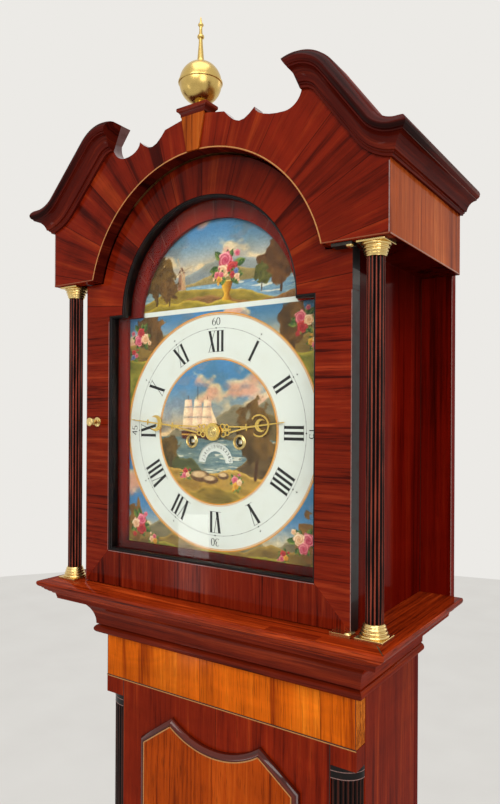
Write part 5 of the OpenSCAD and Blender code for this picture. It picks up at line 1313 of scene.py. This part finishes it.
def romanShapes(text, angle, low=109.6, high=138.4):
    # Hour numerals with thick and thin strokes and hairline feet.
    wide = {"I": 7.3, "V": 13.6, "X": 14.0}
    half = sum(wide[k] for k in text) / 2
    x, shapes = -half, [rect(0.6 - half, half - 0.6, r - 0.25, r + 0.25) for r in (low, high)]
    # Each stroke leans from a share of the letter's width at its foot to a share at its head.
    strokes = dict(I=[(0, 0, 1.95)], V=[(0.5 / 13.6, -0.28, 2.1), (0.2 / 13.6, 0.36, 0.45)],
                   X=[(0.27, -0.27, 2.1), (-0.34, 0.34, 0.45)])
    for k in text:
        mid = x + wide[k] / 2
        for foot, head, w in strokes[k]:
            a, b = mid + foot * wide[k], mid + head * wide[k]
            shapes.append([(a - w, low), (a + w, low), (b + w, high), (b - w, high)])
        x += wide[k]
    return [turned(shape, angle) for shape in shapes]


def ringShapes(r0, r1, n=120):
    inner, outer = (arcPoints(0, 0, r, 0, 360, n) for r in (r0, r1))
    return np.stack([inner[:-1], outer[:-1], outer[1:], inner[1:]], 1).tolist()


def onDial(name, shapes, near, far, material, body="case"):
    # Flat shapes on the dial, between two depths.
    shapes = [np.asarray(shape, float) + (0, dialZ) for shape in shapes]
    return prisms(name, shapes, near, far, material, body)


def addDial():
    y = dialY
    recoat("dial_plate", whiteEnamel)
    r = dial["archR"]
    paintedSkin("dialArch", archGap, (-r, r, dial["archFootZ"], dial["archZ"] + r + 0.5), archScene, 30.0)
    paintedSkin("dialCentre", middleGap, (-100, 100, -100, 100), centreScene, 31.0)
    paintedSkin("dialCorners", cornerGap, (-165, 165, -170, 168), cornerScene, 32.0)
    onDial("dialBar", [rect(-132, 132, 166.4, 173.2)], y - 0.5, y - 0.1, whiteEnamel)
    rings = ((98.6, 100.4), (101.3, 101.9), (160.4, 161.2), (162.0, 163.8))
    onDial("dialGoldRings", [s for ring in rings for s in ringShapes(*ring)], y - 0.55, y - 0.05, goldPaint)
    hours = "XII I II III IIII V VI VII VIII IX X XI".split()
    shapes = [s for k, text in enumerate(hours) for s in romanShapes(text, 30 * k)]
    onDial("hourNumerals", shapes, y - 0.12, y - 0.02, inkBlack)
    shapes = ringShapes(142.0, 142.35)
    for k in range(60):
        r = 0.62 if k % 5 else 1.1
        shapes.append(turned(oval(0, 142.2, r, r, 0, 330, 12), 6 * k))
        if k % 5 == 0 and k % 15:
            shapes += [turned([(-w, 148.5), (0, 148.5 - h), (w, 148.5), (0, 148.5 + h)], 6 * k)
                       for w, h in ((0.5, 2.1), (2.1, 0.5))]
    for k, text in enumerate(("60", "15", "30", "45")):
        shapes += numberShapes(text, 90 * k, 146.2, 10.2, 0.45, 1.35)
    onDial("minuteTrack", shapes, y - 0.12, y - 0.02, inkBlack)
    ring = [(6.4, -0.1), (6.4, -1.4), (7.0, -2.1), (7.8, -1.5), (8.8, -1.3), (9.4, -2.0), (10.2, -1.7),
            (10.6, -0.9), (10.6, -0.1), (6.4, -0.1)]
    for label, side in sides:
        place = (side * dial["windX"], y, dialZ + dial["windZ"])
        lathe("collet" + label, ring, place, brass, "case", axis="y", smooth=50)
    front = frontOf("calendar_disc")
    centre = (0, dial["calendarZ"])
    shapes = [s for k in range(31)
              for s in numberShapes(str(k + 1), k * 360 / 31 - 90, 21.3, 4.6, 0.22, 0.62, centre)]
    onDial("calendarNumbers", shapes, front - 0.1, front + 0.02, inkBlack, "calendar")
    recoat("calendar_disc", whiteEnamel)
    for node in ("minute_hand", "hour_hand"):
        dressed(node, goldHands, 0.25)
    boss = [(7.4, 0.3), (7.4, -0.2), (6.9, -0.6), (5.6, -0.7), (5.3, -0.5), (5.1, -1.3), (4.6, -1.7),
            (3.6, -1.8), (3.3, -1.6), (3.1, -2.4), (2.6, -2.7), (1.6, -2.8), (1.4, -3.6), (0.8, -4.0),
            (0, -4.1)]
    lathe("handBoss", boss, (0, frontOf("minute_hand"), dialZ), brass, "minute_arbor", axis="y",
          smooth=35)


addDial()
print("dial ready")


quarter = dict(x=176.0, y=-38.0, rx=33.7, ry=25.5, reeds=8, depth=1.7, footUp=26.0, headDown=91.0, bandT=15.9)


def quarterRings(stations):
    # A quarter oval as (height, outward) stations, from straight behind the front to straight out.
    return np.array([[(0, 0, z), *((x, y, z) for x, y in oval(0, 0, quarter["rx"] + out, quarter["ry"] + out,
                                                             -90, 0, 19))] for z, out in stations])


def addQuarterColumns():
    q = quarter
    # Darker crests than the hood columns': painted shade, as the quarter columns stand in shadow.
    reeds = reedMaterial("reededQuarterPaintedShade", (66, 30, 22))
    low, high, t = clock["trunkZ"] + q["footUp"], throatZ - q["headDown"], q["bandT"]
    ring, v = reedRing(q["rx"], q["ry"], -90, 0, q["reeds"], q["depth"])
    ring, v = np.vstack([ring, [(32.0, 0), (0, 0)]]), np.append(v, [80, 80])
    zs = [low + t, *np.linspace(low + 18, high - 18, 16), high - t]
    # Each band's two heights, how far it stands out, and its finish; the pale bands are painted highlights.
    bands = ((0, 5.9, 0.15, ebony), (5.9, 6.9, 0.35, paintedHighlightLine), (6.9, 14.9, 0.1, ebony),
             (14.9, t, 0.35, paintedHighlightLine))
    for label, side in sides:
        place = (side * q["x"], q["y"])
        shaft = reeded("quarterColumn" + label, ring * (side, 1), v, zs, place, reeds, "case")
        if side > 0:
            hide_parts("quarter_columns")
        for part, z, sign in (("Foot", low, 1), ("Head", high, -1)):
            for k, (z0, z1, out, stuff) in enumerate(bands):
                levels = ((z0, out - 0.3), (z0 + 0.25, out), (z1 - 0.25, out), (z1, out - 0.3))
                rings = quarterRings([(z + sign * up, w) for up, w in levels]) + (q["x"], q["y"], 0)
                swept("quarter%s%s%d" % (part, label, k), rings * (side, 1, 1), stuff, "case", 40)


base = dict(faceY=-122.5, panel=rect(-196, 196, 178, 514), stringIn=26.0, waistX=51.3, waistY=52.5)


def addTrunkTrim():
    y, top = trunkY, throatZ - 65
    for name, z, stuff, slot in (("friezeLineDark", top + 0.7, darkString, "mahogany"),
                                 ("friezeLinePale", top - 0.8, stringing, "satinwood")):
        strip(name, [(-trunkX, z), (0, z), (trunkX, z)], 1.3, y, stuff, "case")
    for label, side in sides:
        for name, x, width, heights in (("friezeCorner", 209.4, 0.9, (top + 2, top + 30, throatZ - 1)),
                                        ("frameLineDark", 175.2, 1.2, (643, 1000, top - 2))):
            path = [(side * x, z) for z in heights]
            strip(name + label, path, width, y, darkString, "case", 0.1)
    edge = 1 + 8 / base["waistY"]
    cove = oval(0.92, 630, -0.72, 40, -90, 0, 22).tolist()
    bead = oval(0.04, 636, 0.2, 6, math.degrees(-1.05), 90, 14).tolist()
    profile = ([(0, 580), (edge - 0.02, 580), (edge, 581.2), (edge, 586.6), (edge - 0.03, 588.4),
                (edge - 0.1, 589.4), (0.94, 589.8)] + cove + [(0.2, 630)] + bead + [(0, 642)])
    obj = aroundCase("waistMoulding", profile, trunkX, base["waistX"], y, base["waistY"],
                     wood("moulding", "u"), "case")
    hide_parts("waist_moulding")
    face, panel = base["faceY"], np.array(base["panel"], float)
    bead = [(0.2, 0.2), (0.2, -0.5), (-1.2, -1.0), (-3.0, -0.8), (-4.4, -0.1), (-4.4, 0.2)]
    framing("panelMould", panel, np.add(bead, (0, face)), wood("moulding", "u"), "case", 40)
    inset = panel - mitres(panel) * base["stringIn"]
    framing("panelString", inset, rect(-1.6, 0, face - 0.12, face + 0.1), stringing, "case")


maskJoint = dict(innerX=166, outerX=172.5, innerR=134.5, innerUp=158, outerR=150, outerUp=166, half=0.3)


def addHoodTrim():
    # The corner joint's painted highlight line and the string of the return, the crack where the side meets
    # the backboard, and a painted highlight line on the backboard's corner.
    low, bottom, sideX = fasciaZ, hoodZ + 0.5, clock["sideX"]
    edge = fasciaX - 1.0
    for label, side in sides:
        path = [(side * edge, z) for z in (low + 2.2, 2020, 2060)]
        # The corner line is a painted highlight.
        strip("cornerLine" + label, path, 1.4, faceY, paintedHighlightLine, "hood", 0.1)
        for name, x, wide, y0, y1, z0, z1, stuff, body, slot in (
                ("returnString", fasciaX, 0.1, faceY + 1, 131, low + 0.8, low + 2, dimString, "hood",
                 "satinwood"),
                ("sideCrack", sideX, 0.5, 129.6, 131.2, bottom, low - 0.5, darkString, "hood", "mahogany"),
                # The backboard's corner line is a painted highlight.
                ("backCorner", 261.2, 1, 131.3, 131.6, bottom, low - 0.5, paintedHighlightLine, "case", "mahogany")):
            prisms(name + label, [rect(side * x, side * (x + wide), z0, z1)], y0, y1, stuff, body)
    # Joints across the mask's sides, and fanned round its arch.
    front, lines = frontOf("hood_mask"), []
    x0, x1, r0, z0, r1, z1, half = maskJoint.values()
    for k in range(11):
        z = dialZ - 152 + 30.5 * k
        lines += [[(side * x0, z), (side * x1, z + 0.2), (side * x1, z + 0.7), (side * x0, z + 0.5)]
                  for label, side in sides]
    for k in range(13):
        a = math.radians(12 + 13 * k)
        c, s = math.cos(a), math.sin(a)
        ends = ((r0, z0, -half), (r0, z0, half), (r1, z1, half), (r1, z1, -half))
        lines.append([(r * c + w * s, dialZ + z + r * s - w * c) for r, z, w in ends])
    prisms("maskJoints", lines, front - 0.06, front + 0.02, paleJoint, "hood")
    crack = [(259, -119), (261.6, -122), (268, -131.4), (276.5, -143.4), (277.4, -142.6), (269.2, -130.8),
             (263.4, -121.6), (260, -118)]
    for name, outline, stuff in (("sillCrack", crack, inkBlack),
                                 ("sillPatch", rect(128, 196, -141, -126), wood("flame", "x"))):
        prisms(name, [outline], hoodZ, hoodZ + 0.08, stuff, "hood", lying=True)
    for name, z, sign in (("pivotDomeLow", hoodZ + 4.1, 1), ("pivotDomeHigh", low - 4.2, -1)):
        dome = oval(0, 0, 4.6, sign * 3.0, 0, math.degrees(1.5), 12).tolist()
        lathe(name, [(0, 0)] + dome + [(0, sign * 3.0)], (222, -112.5, z), brass, "hood_door",
              steps=40, smooth=50)


# Nodes of the movement and the fittings by finish: their material, their slot and their eased edges.
metalwork = (
    ("front_plate back_plate back_cock", plateBrass, "plate_brass", 0.4),
    ("centre_wheel third_wheel escape_wheel hour_wheel minute_wheel going_great_wheel strike_great_wheel "
     "pin_wheel gathering_wheel warning_wheel fly rack", plateBrass, "plate_brass", 0),
    ("going_drum strike_drum going_pulley strike_pulley", plateBrass, "plate_brass", 0.3),
    ("pallets hammer bell_stand pendulum_rod", steel, "steel", 0.3),
    ("false_plate going_weight strike_weight", iron, "iron", 0.8),
    ("pendulum_bob", brass, "brass", 0.3),
    ("trunk_door_fittings hood_door_fittings", brass, "brass", 0.4),
)


def addMovement():
    pieces = {node: dressed(node, stuff, bevel)
              for names, stuff, slot, bevel in metalwork for node in names.split()}
    sideFinish(pieces["hood_door_fittings"], iron, lambda n, c: c.z > 1.9)
    for node, label, side in (("going_drum", "Right", 1), ("strike_drum", "Left", -1)):
        x, y, z = side * dial["windX"], frontOf(node), dialZ + dial["windZ"]
        rings = [[(x + a * w, y + d, z + b * w) for a, b in rect(-1, 1, -1, 1)]
                 for w, d in ((2.5, 0.4), (2.5, -0.9), (1.7, -1.7))]
        swept("winding" + label, rings, brightSteel, node, smooth=20)
    for node in ("going_line", "strike_line"):
        recoat(node, gut)


addQuarterColumns()
addTrunkTrim()
addHoodTrim()
addMovement()
print("trim and movement ready")
